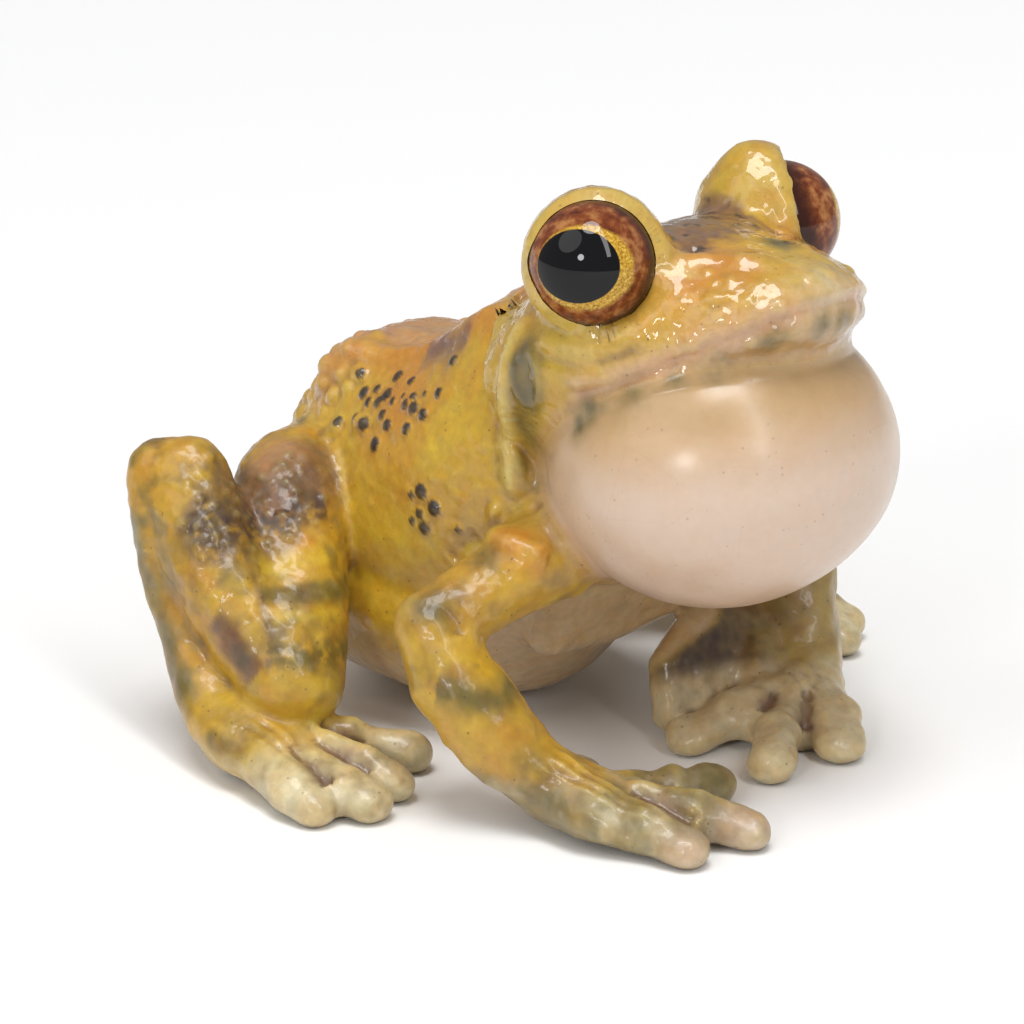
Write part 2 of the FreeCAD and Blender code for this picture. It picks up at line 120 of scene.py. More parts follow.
def frame_round(axis, side):
    """The directions above and in front of an eye's axis."""
    above = np.array([0, 0, 1.0]) - axis[2] * axis
    above /= np.linalg.norm(above)
    return above, np.cross(axis, above) * -SIDES[side]


GAZES = {side: heading(side, GAZE_OUT, GAZE_UP) for side in SIDES}


# ---- one skin over all castings

def freed_arrays(bm):
    """Places and triangles of a bmesh, which is freed."""
    bm.verts.index_update()
    places = np.array([v.co for v in bm.verts])
    faces = np.array([[v.index for v in f.verts] for f in bm.faces])
    bm.free()
    return places, faces


def hull_arrays(cloud):
    """Places and triangles of the convex hull of a cloud of points."""
    bm = bmesh.new()
    for point in cloud:
        bm.verts.new(point)
    hull = bmesh.ops.convex_hull(bm, input=bm.verts)
    inner = [g for g in hull["geom_interior"] if isinstance(g, bmesh.types.BMVert)]
    bmesh.ops.delete(bm, geom=inner, context="VERTS")
    bmesh.ops.triangulate(bm, faces=bm.faces)
    return freed_arrays(bm)


def core_of(node, share):
    """The convex hull of a hollow casting, shrunk about its middle, which fills its hollow."""
    points = node_mesh(node)[0][::7]
    middle = (points.min(0) + points.max(0)) / 2
    return hull_arrays(middle + share * (points - middle))


def throat_fill():
    """A flat bead of filler in the crevice between the sac's underside and the chest."""
    bm = bmesh.new()
    bmesh.ops.create_icosphere(bm, subdivisions=4, radius=1.0)
    places, faces = freed_arrays(bm)
    low, high = corners("vocal_sac")
    front = corners("torso_shell")[0][1]
    middle = np.array([(low[0] + high[0]) / 2, front + 2.2, low[2] + 0.09 * (high[2] - low[2])])
    return places * (9.5, 4.2, 2.6) + middle, faces


# Webs of skin between the digits, the full chest under the sac, and the web behind the left hand, a sheet painted dark
# as shade under the sac.
# Each row is a side, a radius, and the (outward, y, z) places of balls whose common hull is the web.
WEBS = [
    ("right", 1.5, [(18.4, -27, 2.4), (19.4, -30, 2), (16, -30.6, 2), (18.6, -33, 1.7),
                    (14.6, -33, 1.7)]),
    ("right", 1.4, [(16.6, -25.4, 2.6), (15.6, -29.2, 2), (12.4, -27.6, 1.9), (13.4, -31.6, 1.8),
                    (17.4, -24, 3)]),
    ("right", 1.4, [(19, -23, 3), (14.5, -25, 2.4), (12, -25.6, 2.2), (17, -19.6, 2.6)]),
    ("right", 1.4, [(36.9, 2, 2.4), (35.2, 2, 2.4), (36.2, -1.4, 1.8)]),
    ("right", 1.4, [(33, 2, 2.6), (31.2, 1.6, 2.6), (31.6, -2, 1.8)]),
    ("right", 1.4, [(30.4, 5.6, 2.8), (28.4, 4.4, 2.4), (27.6, 6.6, 2.4), (31.6, 8.6, 3.2)]),
    ("left", 1.4, [(39.2, -0.6, 2.4), (37.4, -0.6, 2.4), (38.4, -4, 1.8)]),
    ("left", 1.4, [(35.3, -0.6, 2.6), (33.4, -1, 2.6), (33.9, -4.6, 1.8)]),
    ("left", 1.4, [(32.8, 3, 2.8), (30.8, 1.8, 2.4), (30, 4, 2.4), (34, 6, 3.2)]),
    ("left", 1.6, [(16.6, -21, 2.6), (15, -24.6, 2), (10.6, -22.6, 2), (12.2, -19, 3)]),
    ("left", 1.6, [(12, -19.4, 2.8), (7.4, -21.6, 2.2), (7.4, -19, 2.2), (12, -16.6, 3)]),
    ("right", 3.0, [(9.5, -6.5, 18.5), (-9.5, -6.5, 18.5), (8, -5, 13.5), (-8, -5, 13.5),
                    (0, -8, 20), (0, -5.2, 13)]),
    ("left", 2.0, [(4, -11.4, 2.4), (5, -9.6, 7), (13, -12, 5), (14, -7.5, 12), (18, -9, 10)]),
    ("left", 2.4, [(19, -12.4, 7), (14, -14.4, 5), (13, -12.6, 4.4), (19.4, -8.6, 10), (16, -10, 7)]),
]


def web(side, radius, points):
    """The hull of balls at these places, none of them below the floor."""
    bm = bmesh.new()
    for out, y, z in points:
        ball = bmesh.ops.create_icosphere(bm, subdivisions=2, radius=radius)
        bmesh.ops.translate(bm, verts=ball["verts"], vec=(MID_X + SIDES[side] * out, y, max(z, radius)))
    cloud = [v.co.copy() for v in bm.verts]
    bm.free()
    return hull_arrays(cloud)


def joined_skin():
    """One closed skin over the castings, with eyeballs and plug filling their holes. Places in mm, quads."""
    places, faces, count = [], [], 0
    solids = [node_mesh(node) for node in [*SKIN_SLOTS, "right_eye", "left_eye", "belly_plug"]]
    solids += [core_of("torso_shell", 0.9), core_of("vocal_sac", 0.98), throat_fill()]
    solids += [web(*row) for row in WEBS]
    for node_places, node_faces in solids:
        places.append(node_places)
        faces.append(node_faces + count)
        count += len(node_places)
    places, faces = np.concatenate(places), np.concatenate(faces)
    mesh = bpy.data.meshes.new("joined")
    mesh.from_pydata(places.tolist(), [], faces.tolist())
    obj = bpy.data.objects.new("joined", mesh)
    bpy.context.scene.collection.objects.link(obj)
    remesh = obj.modifiers.new("remesh", "REMESH")
    remesh.mode = "VOXEL"
    remesh.voxel_size = VOXEL
    remesh.adaptivity = 0
    made = obj.evaluated_get(bpy.context.evaluated_depsgraph_get()).to_mesh()
    corner_vertex = read_array(made.loops, "vertex_index", kind=int)
    starts = read_array(made.polygons, "loop_start", kind=int)
    four_sided = read_array(made.polygons, "loop_total", kind=int) == 4
    quads = corner_vertex[starts[four_sided][:, None] + np.arange(4)]
    places = read_array(made.vertices, "co", 3)
    bpy.data.objects.remove(obj)
    bpy.data.meshes.remove(mesh)
    return largest_part(places, quads)


def largest_part(places, quads):
    """Keep the outer skin, which has the most vertices, and drop the walls of the hollows."""
    label = np.arange(len(places))
    a = quads.ravel()
    b = np.roll(quads, -1, axis=1).ravel()
    while True:
        low = np.minimum(label[a], label[b])
        before = label.copy()
        np.minimum.at(label, a, low)
        np.minimum.at(label, b, low)
        label = label[label]
        if (label == before).all():
            break
    names, sizes = np.unique(label, return_counts=True)
    keep = label == names[sizes.argmax()]
    index = np.cumsum(keep) - 1
    return places[keep], index[quads[keep[quads[:, 0]]]]


P, QUADS = joined_skin()
EDGES = np.sort(np.stack([QUADS.ravel(), np.roll(QUADS, -1, axis=1).ravel()], axis=1), axis=1)
EDGES = np.unique(EDGES[:, 0] * len(P) + EDGES[:, 1])
EDGES = np.stack([EDGES // len(P), EDGES % len(P)], axis=1)
DEGREE = np.bincount(EDGES.ravel(), minlength=len(P)).astype(float)


def neighbour_mean(values):
    """Mean of each vertex's neighbours, for one or more columns."""
    a, b = EDGES.T
    table = values.reshape(len(P), -1)
    out = np.empty_like(table)
    for k in range(table.shape[1]):
        out[:, k] = (np.bincount(a, table[b, k], len(P)) + np.bincount(b, table[a, k], len(P))) / DEGREE
    return out.reshape(values.shape)


def blurred(values, rounds):
    for _ in range(rounds):
        values = 0.5 * values + 0.5 * neighbour_mean(values)
    return values


SOCKETS = np.zeros(len(P))


def normals_of(places):
    """Vertex normals. Quads that turn into a socket don't count, so that the lid's edge stays smooth."""
    corner = places[QUADS]
    face = np.cross(corner[:, 2] - corner[:, 0], corner[:, 3] - corner[:, 1])
    face *= np.where(SOCKETS[QUADS].any(1), 1e-6, 1.0)[:, None]
    columns = [np.bincount(QUADS.ravel(), np.repeat(face[:, k], 4), len(places)) for k in range(3)]
    out = np.stack(columns, axis=1)
    return out / np.maximum(np.linalg.norm(out, axis=1, keepdims=True), 1e-12)


def fair(places, rounds, shrink=0.5, swell=-0.52):
    """Taubin smoothing: takes the voxel steps away and keeps the volume."""
    for _ in range(rounds):
        places = places + shrink * (neighbour_mean(places) - places)
        places = places + swell * (neighbour_mean(places) - places)
    return places


P = fair(P, 8)


def fillet(places, rounds, strength=0.6, where=None):
    """Fill creases only: a vertex moves toward its neighbours where they lie above it."""
    for _ in range(rounds):
        pull = neighbour_mean(places) - places
        above = (pull * normals_of(places)).sum(1)
        share = strength * (above > 0)
        if where is not None:
            share = share * where
        places = places + share[:, None] * pull
    return places


# Smoothing rounds were set at voxels of 0.26 mm. Larger voxels need fewer for the same reach.
FINE = (0.26 / VOXEL) ** 2
P = fillet(P, int(60 * FINE))
P = fair(P, 3)
N = normals_of(P)


# ---- fields over the skin

def folded(places):
    """Right and left halves laid on each other: X becomes the distance outward from the mid-plane."""
    return np.stack([np.abs(places[:, 0] - MID_X), places[:, 1], places[:, 2]], axis=1)


def rise(values, low, high):
    """0 up to the low value, 1 from the high one, and smooth between them."""
    t = np.clip((values - low) / (high - low), 0, 1)
    return t * t * (3 - 2 * t)


def lattice_value(cell, seed):
    """A repeatable random number from 0 to 1 for each whole-number place."""
    mixed = cell[:, 0] * 73856093 ^ cell[:, 1] * 19349663 ^ cell[:, 2] * 83492791 ^ (seed + 17) * 668265263
    mixed = (mixed ^ (mixed >> 13)) * 1274126177 & 0x7FFFFFFF
    mixed = (mixed ^ (mixed >> 16)) * 69069 & 0x7FFFFFFF
    return (mixed & 0xFFFF) / 65535.0


def noise(size, seed):
    """Smooth noise from -1 to 1, with features of about that size in mm, laid over the skin before its sculpting."""
    at = REST / size + 100.0
    cell = np.floor(at).astype(np.int64)
    t = at - cell
    t = t * t * (3 - 2 * t)
    total = np.zeros(len(at))
    for corner in range(8):
        step = np.array([corner & 1, corner >> 1 & 1, corner >> 2 & 1])
        weight = np.prod(np.where(step, t, 1 - t), axis=1)
        total += weight * lattice_value(cell + step, seed)
    return total * 2 - 1


def rough_noise(size, seed, octaves=3):
    """Noise in octaves, each half the size and half the strength of the one before."""
    return sum(noise(size / 2 ** k, seed + k) / 2 ** k for k in range(octaves)) / (2 - 0.5 ** (octaves - 1))


def patches(size, seed, low, high):
    """1 inside random patches of about that size, 0 outside them."""
    return rise(rough_noise(size, seed), low, high)


REST = P.copy()
FOLD = folded(P)
OUT, ALONG, HEIGHT = FOLD.T
SIDE_OF = np.where(P[:, 0] < MID_X, -1, 1)
SKIN_TREE = BVHTree.FromPolygons(P.tolist(), QUADS.tolist())


def snapped(point, side=-1):
    """The nearest place on the skin to (outward, y, z), given and returned in folded places."""
    found = SKIN_TREE.find_nearest(Vector((MID_X + side * point[0], point[1], point[2])))[0]
    return np.array([abs(found[0] - MID_X), found[1], found[2]])


def trail(points, side=-1, step=0.4):
    """A line laid on the skin through the given (outward, y, z) places, rounded at its corners."""
    points = np.array(points, float)
    for _ in range(2):
        cut = np.stack([0.75 * points[:-1] + 0.25 * points[1:], 0.25 * points[:-1] + 0.75 * points[1:]], axis=1)
        points = np.concatenate([points[:1], cut.reshape(-1, 3), points[-1:]])
    laid = []
    for a, b in zip(points[:-1], points[1:]):
        count = max(1, int(np.linalg.norm(b - a) / step))
        laid += [snapped(a + (b - a) * k / count, side) for k in range(count)]
    return np.array(laid + [snapped(points[-1], side)])


def near_trail(line, width, sides=(-1, 1), fade=0.15):
    """For vertices near a trail: their indices, distance over width, share along it, and a fade to 0 at its ends."""
    reach = 3 * width
    low, high = line.min(0) - reach, line.max(0) + reach
    index = np.flatnonzero(((FOLD > low) & (FOLD < high)).all(1) & np.isin(SIDE_OF, sides))
    best = np.full(len(index), 1e9)
    where = np.zeros(len(index))
    for k, point in enumerate(line):
        distance = ((FOLD[index] - point) ** 2).sum(1)
        closer = distance < best
        best[closer] = distance[closer]
        where[closer] = k / max(1, len(line) - 1)
    distance = np.sqrt(best) / width
    near = distance < 3
    index, distance, where = index[near], distance[near], where[near]
    first, last = fade if isinstance(fade, tuple) else (fade, fade)
    ends = np.ones(len(where))
    if first:
        ends *= rise(where, 0, first)
    if last:
        ends *= rise(1 - where, 0, last)
    return index, distance, where, ends


def line_on(points, width, sides=(-1, 1), fade=0.15, side=-1, power=2):
    """1 on a trail, falling off to 0 over its width, and fading at its ends."""
    field = np.zeros(len(P))
    index, distance, _, ends = near_trail(trail(points, side), width, sides, fade)
    field[index] = np.exp(-distance ** power) * ends
    return field


def beside(points, up, out=0.0, back=0.0):
    """The same places, shifted."""
    return [(p[0] + out, p[1] + back, p[2] + up) for p in points]


def blob(centre, radius, sides=(-1, 1), stretch=(1, 1, 1), power=1):
    """1 at a folded place, falling off to 0 as a bell of that radius. A higher power gives a flatter top."""
    offset = (FOLD - np.array(centre)) / np.array(stretch)
    return np.exp(-((offset ** 2).sum(1) / radius ** 2) ** power) * np.isin(SIDE_OF, sides)


def on(*nodes):
    """1 on these castings, with soft edges."""
    return blurred(np.isin(LABEL, [list(SKIN_SLOTS).index(n) for n in nodes]).astype(float), 6)


def push(amount, along=None):
    """Move the skin along its normals, or along a direction, by that many mm."""
    global P, N
    P = P + np.asarray(amount)[:, None] * (N if along is None else np.array(along, float))
    N = normals_of(P)


def nearest_node():
    """For each vertex, the index of the CAD node that it lies on, from smoothed distances."""
    reach, far = 3.0, 9.0
    distances = np.full((len(P), len(SKIN_SLOTS)), far)
    for k, node in enumerate(SKIN_SLOTS):
        places, triangles = node_mesh(node)
        tree = BVHTree.FromPolygons(places.tolist(), triangles.tolist())
        low, high = corners(node)
        for i in np.flatnonzero(((P > low - reach) & (P < high + reach)).all(1)):
            found = tree.find_nearest(P[i], far)
            if found[3] is not None:
                distances[i, k] = found[3]
    return blurred(distances, 4).argmin(1)


LABEL = nearest_node()
TORSO, HEAD, SAC = on("torso_shell"), on("head_shell"), on("vocal_sac")
ARMS, LEGS = on("right_foreleg", "left_foreleg"), on("right_hind_leg", "left_hind_leg")


# ---- sculpting: large forms

# The sac is blown up tight, so it gets the roundness of its casting without the voxel grain.
def quadric_terms(points, middle):
    """Terms of a quadric surface about a middle, in units of 20 mm, and those units' x, y and z."""
    x, y, z = ((points - middle) / 20).T
    return np.stack([x * x, y * y, z * z, x * y, x * z, y * z, x, y, z], axis=1), x, y, z


def sac_roundness():
    """How far each vertex of the sac is from the rounded quadric that fits its casting."""
    places = node_mesh("vocal_sac")[0]
    low, high = corners("vocal_sac")
    middle = (low + high) / 2
    reach = np.linalg.norm((places - middle) / ((high - low) / 2), axis=1)
    outer = places[reach > np.quantile(reach, 0.45)]
    fit = np.linalg.lstsq(quadric_terms(outer, middle)[0], np.ones(len(outer)), rcond=None)[0]
    terms, x, y, z = quadric_terms(P, middle)
    slope = np.stack([2 * x * fit[0] + y * fit[3] + z * fit[4] + fit[6],
                      2 * y * fit[1] + x * fit[3] + z * fit[5] + fit[7],
                      2 * z * fit[2] + x * fit[4] + y * fit[5] + fit[8]], axis=1) / 20
    gap = (1 - terms @ fit) / np.maximum((slope * N).sum(1), 0.02)
    return np.clip(gap, -0.4, 0.4) * rise(blurred(SAC, 20), 0.6, 0.98)


def border_of(field, rounds):
    """1 along the edge of a field of 0 and 1, and 0 away from it."""
    soft = blurred(field, rounds)
    return rise(4 * soft * (1 - soft), 0.05, 0.6)


push(sac_roundness())
sac_border = border_of(SAC, int(60 * FINE))
P = fillet(P, int(70 * FINE), where=sac_border)
soft_edge = 0.8 * sac_border[:, None]
for _ in range(int(90 * FINE)):
    P = P + soft_edge * (neighbour_mean(P) - P)
limb_border = np.maximum(border_of(LEGS, int(30 * FINE)), border_of(ARMS, int(30 * FINE)))
P = fillet(P, int(60 * FINE), where=limb_border)
N = normals_of(P)

# Back: a hump over the sacrum, a dip before it, and a raised nape.
push(-0.7 * blob((0, 20, 41), 4.5, stretch=(1.2, 1, 1)) * TORSO, (0, 0, 1))
SACRUM = (9.5, 24.5, 37.5)
push(2.5 * blob(SACRUM, 4.0, sides=(-1,)) * TORSO + 0.9 * blob(SACRUM, 4.2, sides=(1,)) * TORSO, (-0.1, 0.2, 0.95))
push(-1.3 * blob((0, 14, 42.5), 5.5, stretch=(1.9, 1, 1)) * TORSO, (0, 0, 1))
push(1.7 * blob((7.5, 2, 45.5), 5.0) * TORSO, (0, 0, 1))

# Fold along each side of the back, from behind the eye to the hip.
BACK_FOLD = [(12, -5, 47), (10, 0.5, 45), (9, 5, 43.5), (8.5, 10, 41.8), (8.5, 15, 40.2),
             (9, 20, 38.6), (10.5, 25, 35.5), (11.5, 30, 31.5)]
push(0.75 * line_on(BACK_FOLD, 1.5) - 0.35 * line_on(beside(BACK_FOLD, 0.8, out=-3.2), 2.0))

# Far, left brow: taller and more pointed than the near one.
push(1.5 * blob((10.5, -14.5, 61), 3.6, sides=(1,)) * HEAD, (-0.1, 0.1, 0.99))
push(-0.9 * blob((14.5, -10, 58), 3.2, sides=(1,)) * HEAD)


# ---- sculpting: eyelids

OPENING_OUT, OPENING_UP = math.radians(42), math.radians(16)


def eye_angles(side):
    """Distance from the eyeball's centre, angle from the middle of the eye's opening, and turn round it (0 is up)."""
    axis = heading(side, OPENING_OUT, OPENING_UP)
    above, front = frame_round(axis, side)
    offset = P - EYES[side][0]
    far = np.linalg.norm(offset, axis=1)
    angle = np.degrees(np.arccos(np.clip(offset @ axis / np.maximum(far, 1e-6), -1, 1)))
    turn = np.degrees(np.arctan2(offset @ front, offset @ above))
    return far, angle, turn, axis


def lid_edge(turn):
    """How far the lids stand from the middle of the opening, with a corner in front and one below."""
    def near(middle, width):
        return np.exp(-(((turn - middle + 180) % 360 - 180) / width) ** 2)
    return 73 + 11 * near(88, 16) + 9 * near(192, 18) - 3 * near(-60, 40)


LIDS = np.zeros(len(P))
for side in SIDES:
    centre, radius = EYES[side]
    far, angle, turn, axis = eye_angles(side)
    edge = lid_edge(turn)
    past = (angle - edge) * radius * math.pi / 180
    close = rise(12.5 - far, 0, 3) * (np.isin(SIDE_OF, SIDES[side]))
    # The rim swells over the eyeball just outside the opening, with a crease behind it.
    rim = np.where(past > 0, np.exp(-((past - 0.75) / 0.75) ** 2), 0)
    crease = np.exp(-((past - 2.3) / 0.6) ** 2)
    floor = radius + 0.08 + 0.5 * np.clip(past / 1.1, 0, 1)
    push(close * (0.12 * rim - 0.1 * crease))
    far, angle, turn, axis = eye_angles(side)
    outward = (P - centre) / np.maximum(far, 1e-6)[:, None]
    lift = np.where((past > 0) & (past < 4), np.maximum(0, floor - far), 0) * close
    P = P + lift[:, None] * outward
    def on_ball(index, angles):
        """Places just outside the eyeball, at these angles in degrees from the middle of the opening."""
        across = outward[index] - (outward[index] @ axis)[:, None] * axis
        across /= np.maximum(np.linalg.norm(across, axis=1, keepdims=True), 1e-9)
        lean = np.radians(angles)
        return centre + (radius + 0.03) * (np.cos(lean)[:, None] * axis + np.sin(lean)[:, None] * across)

    # Inside the opening the skin turns back behind the eyeball and forms its socket.
    inside = np.flatnonzero((past <= 0) & (far < radius + 1.5) & (close > 0))
    share = angle[inside] / edge[inside]
    P[inside] = on_ball(inside, 180 - share * (180 - edge[inside]))
    # Outside vertices of the quads that cross the lid's edge move onto it, so that the edge is one clean line.
    is_inside = np.zeros(len(P), bool)
    is_inside[inside] = True
    mixed = is_inside[QUADS].any(1) & ~is_inside[QUADS].all(1)
    edge_ring = np.unique(QUADS[mixed])
    edge_ring = edge_ring[~is_inside[edge_ring]]
    P[edge_ring] = on_ball(edge_ring, edge[edge_ring])
    SOCKETS[inside] = 1
    N = normals_of(P)
    LIDS = np.maximum(LIDS, np.where(past > 0, np.exp(-(past / 1.6) ** 2), 0) * close)


# ---- sculpting: mouth, folds and nostrils

MOUTH = [(16.9, -15.5, 41.9), (15.8, -18.5, 42.9), (14.1, -22.8, 44.7), (12.2, -25.6, 46.6), (11.2, -28.2, 48.2),
         (9.8, -30.1, 49.2), (8.4, -31.4, 49.9), (6.1, -33.4, 51.2), (2.8, -34.7, 51.9), (0, -35, 52)]
# A trail that ends on the mid-plane runs into its mirror image there, so only its outer end fades.


MIDLINE = (0.12, 0)
push(0.3 * line_on(beside(MOUTH, 1.2), 0.9, fade=MIDLINE)
     + 0.4 * line_on(beside(MOUTH, -1.7), 1.3, fade=(0.3, 0)))
push(-0.2 * line_on(MOUTH, 0.55, fade=MIDLINE))

CHEEK_FOLD = [(16.8, -11.5, 47.6), (16.9, -16, 47), (15.8, -20.5, 48.2), (14, -23.5, 50)]
push(0.45 * line_on(CHEEK_FOLD, 0.9) - 0.3 * line_on(beside(CHEEK_FOLD, -1.8), 0.8))

# The fold from the back of the eye down past the ear to the shoulder.
EAR_FOLD = [(15.5, -8.5, 50.5), (16.6, -7.5, 46), (17, -7.6, 41.5), (16.2, -6.6, 37), (15.4, -6.8, 32.5),
            (15.2, -7.6, 28.5)]
push(0.65 * line_on(EAR_FOLD, 0.9) - 0.25 * line_on(beside(EAR_FOLD, 0, back=2.2), 1.0))
EAR = (17, -10.8, 43)
ear_far = np.linalg.norm((FOLD - np.array(EAR)) / np.array([1, 0.8, 1.25]), axis=1)
push(0.2 * np.exp(-((ear_far - 2.2) / 0.6) ** 2) - 0.3 * np.exp(-(ear_far / 1.6) ** 2))

NOSTRIL = (3.2, -27, 55.9)
push(0.45 * blob(NOSTRIL, 1.5) - 0.9 * blob(NOSTRIL, 0.55))
push(0.3 * blob((1, -33.5, 54.6), 1.0) - 0.4 * blob((6, -22.4, 56), 0.5))
# A furrow between the brows, and ridges from the brows to the nostrils.
push(-0.35 * blob((0, -16, 57), 4.0, stretch=(1, 1.6, 1)) * HEAD)
push(0.4 * line_on([(10, -21, 56.6), (7, -24, 56.6), (4, -27.5, 55.8), (2.5, -31, 54.8)], 1.1))

# Shoulder: a raised fold of skin over the top of the arm.
push(0.8 * line_on([(17, -4.5, 28), (19.8, -9, 27), (19.4, -12, 26.6), (17.5, -14.6, 25.6)], 1.3))
push(-0.5 * line_on([(16.5, -3, 25), (18.5, -1.5, 23), (20, -0.5, 21)], 0.9))

# Chest and belly: wrinkles across.
for k in range(4):
    z = 14.0 - 2.3 * k
    wave = 0.5 * (-1) ** k
    wrinkle = [(1.0 + k, -6.0 + 1.5 * k, z), (5.0, -5.2 + 1.4 * k, z + wave), (9.5 - k, -3.6 + 1.2 * k, z - wave)]
    push(-0.16 * line_on(wrinkle, 0.7, fade=0.3))

# Limbs: knees, heels, elbows and tendons.
for shift in (-1.3, 0, 1.3):
    right_hand = [(23.5 + shift, -19.0, 7.5), (21.8 + shift, -25.0, 5.8), (20.4 + 0.7 * shift, -31.0, 4.6),
                  (19.2 + 0.4 * shift, -34.5, 3.6)]
    foot = [(36.6 + shift, 10.0, 7.0), (36.4 + shift, 4.0, 5.6), (37.2 + 0.5 * shift, -0.5, 4.2)]
    left_hand = [(15.5 + shift, -17.5, 6.0), (14.2 + shift, -22.0, 5.0), (12.4 + 0.5 * shift, -26.5, 3.8)]
    push(0.28 * line_on(right_hand, 0.42, sides=(-1,)))
    push(0.28 * line_on(foot, 0.45))
    push(0.3 * line_on(left_hand, 0.5, sides=(1,), side=1))
# Grooves between the digits, as (side, places).
GROOVES = [
    (-1, [(35.4, 4.5, 5.2), (35.9, 0.5, 4.2), (35.9, -2.5, 3.2)]),
    (-1, [(32.7, 4.5, 5.4), (32, 0, 4.2), (31.4, -3, 3)]),
    (-1, [(31, 7, 5.5), (28.6, 4, 4.5), (27, 2.5, 3)]),
    (1, [(37.8, 1.9, 5.2), (38.3, -2.1, 4.2), (38.3, -5.1, 3.2)]),
    (1, [(35.1, 1.9, 5.4), (34.4, -2.6, 4.2), (33.8, -5.6, 3)]),
    (1, [(33.4, 4.4, 5.5), (31, 1.4, 4.5), (29.4, -0.1, 3)]),
    (-1, [(18.8, -27, 4.7), (17.5, -30.5, 3.8), (16.4, -33.2, 2.6)]),
    (-1, [(16, -25.6, 4.8), (12.8, -28, 3.6)]),
    (1, [(14.8, -20.6, 4.9), (11.6, -23.5, 3.8), (9.6, -25.2, 2.8)]),
    (1, [(12, -19, 4.9), (8, -20.3, 3.6)]),
]


def groove_field(width, fade):
    """The grooves between the digits, added up."""
    return sum(line_on(places, width, sides=(side,), side=side, fade=fade) for side, places in GROOVES)


push(-0.55 * np.minimum(groove_field(0.7, (0.25, 0.05)), 1))
push(0.3 * line_on([(32, 8, 6), (31, 3, 5), (29, -2, 3.6)], 0.6))
push(0.3 * line_on([(18.8, -25, 5.6), (15.4, -30, 5), (12.2, -35, 3.4)], 0.6, sides=(-1,)))
push((0.32 * noise(3.4, 19) + 0.16 * noise(1.7, 20)) * (ARMS + 0.6 * LEGS) * rise(P[:, 2], 0.5, 3.0))
push(0.7 * blob((28.6, -8, 19.5), 2.6) + 0.5 * blob((27.5, -13.5, 13.5), 2.6)
     - 0.4 * line_on([(27.5, -12, 19), (25.5, -8.5, 20), (24, -6, 19)], 0.8))
push(0.5 * blob((29.2, 9, 6.5), 3.2))


# ---- sculpting: skin texture

DORSAL = rise(HEIGHT - 0.35 * OUT, 30, 37) * TORSO
BUMPY = np.clip(TORSO * rise(HEIGHT, 16, 30) + LEGS * rise(HEIGHT, 5, 16)
                + 0.8 * HEAD * rise(HEIGHT, 44, 50) + 0.5 * ARMS, 0, 1)
BUMPY *= (1 - SOCKETS) * (1 - 0.7 * LIDS) * (1 - SAC)
push(0.22 * rough_noise(5.0, 3) * (1 - SAC) * (1 - SOCKETS))
push(0.17 * np.clip(noise(1.5, 11) - 0.05, 0, 1) * BUMPY + 0.08 * noise(0.9, 12) * BUMPY)


def scatter(field, count, seed, spacing):
    """Vertices picked at random where a field is high, kept apart by the spacing."""
    rng = np.random.default_rng(seed)
    share = field / field.sum()
    picked = []
    for i in rng.choice(len(P), size=count * 6, replace=False, p=share):
        if all(np.linalg.norm(P[i] - P[j]) > spacing for j in picked):
            picked.append(i)
        if len(picked) == count:
            break
    return picked


def warts(picked, seed, small, large, height):
    """Round bumps on picked vertices. Gives the field of the bumps."""
    rng = np.random.default_rng(seed)
    field = np.zeros(len(P))
    for i in picked:
        radius = rng.uniform(small, large)
        index = np.flatnonzero((np.abs(P - P[i]) < 2.5 * radius).all(1))
        bump = np.exp(-(((P[index] - P[i]) ** 2).sum(1) / radius ** 2) ** 1.5)
        field[index] = np.maximum(field[index], bump * radius / large)
    push(height * field)
    return field


rump = TORSO * (blob((9, 26, 35), 5.5) + blob((10, 31, 30), 5.0) + 0.5 * line_on(BACK_FOLD[5:], 2.2))
rump *= rise(39.5 - HEIGHT, 0, 2)
RUMP_WARTS = warts(scatter(rump, 70, 5, 1.5), 6, 0.6, 1.25, 0.7)
flank = TORSO * (blob((14, 13.5, 35), 3.6, stretch=(1, 2.1, 1), power=2)
                 + 0.6 * blob((17.5, 4, 26.5), 2.3, stretch=(1, 1.6, 1), power=2)
                 + 0.2 * blob((13.5, 4, 40.5), 1.6))
DARK_WARTS = warts(scatter(flank, 58, 21, 1.25), 22, 0.45, 0.85, 0.42)
grain = LEGS * (blob((25, 17.5, 26.5), 5.0) + blob((32.5, 18, 25), 4.5))
LEG_WARTS = warts(scatter(grain, 130, 31, 0.8), 32, 0.3, 0.6, 0.28)
snout = HEAD * (blob((9, -26, 52), 5.5) + blob((12.5, -21, 52), 3.0))
warts(scatter(snout, 50, 41, 1.3), 42, 0.4, 0.9, 0.3)


# ---- painting

def rgb(r, g, b):
    """Linear colour from display values 0 to 255."""
    display = np.array([r, g, b]) / 255
    return np.where(display < 0.04045, display / 12.92, ((display + 0.055) / 1.055) ** 2.4)


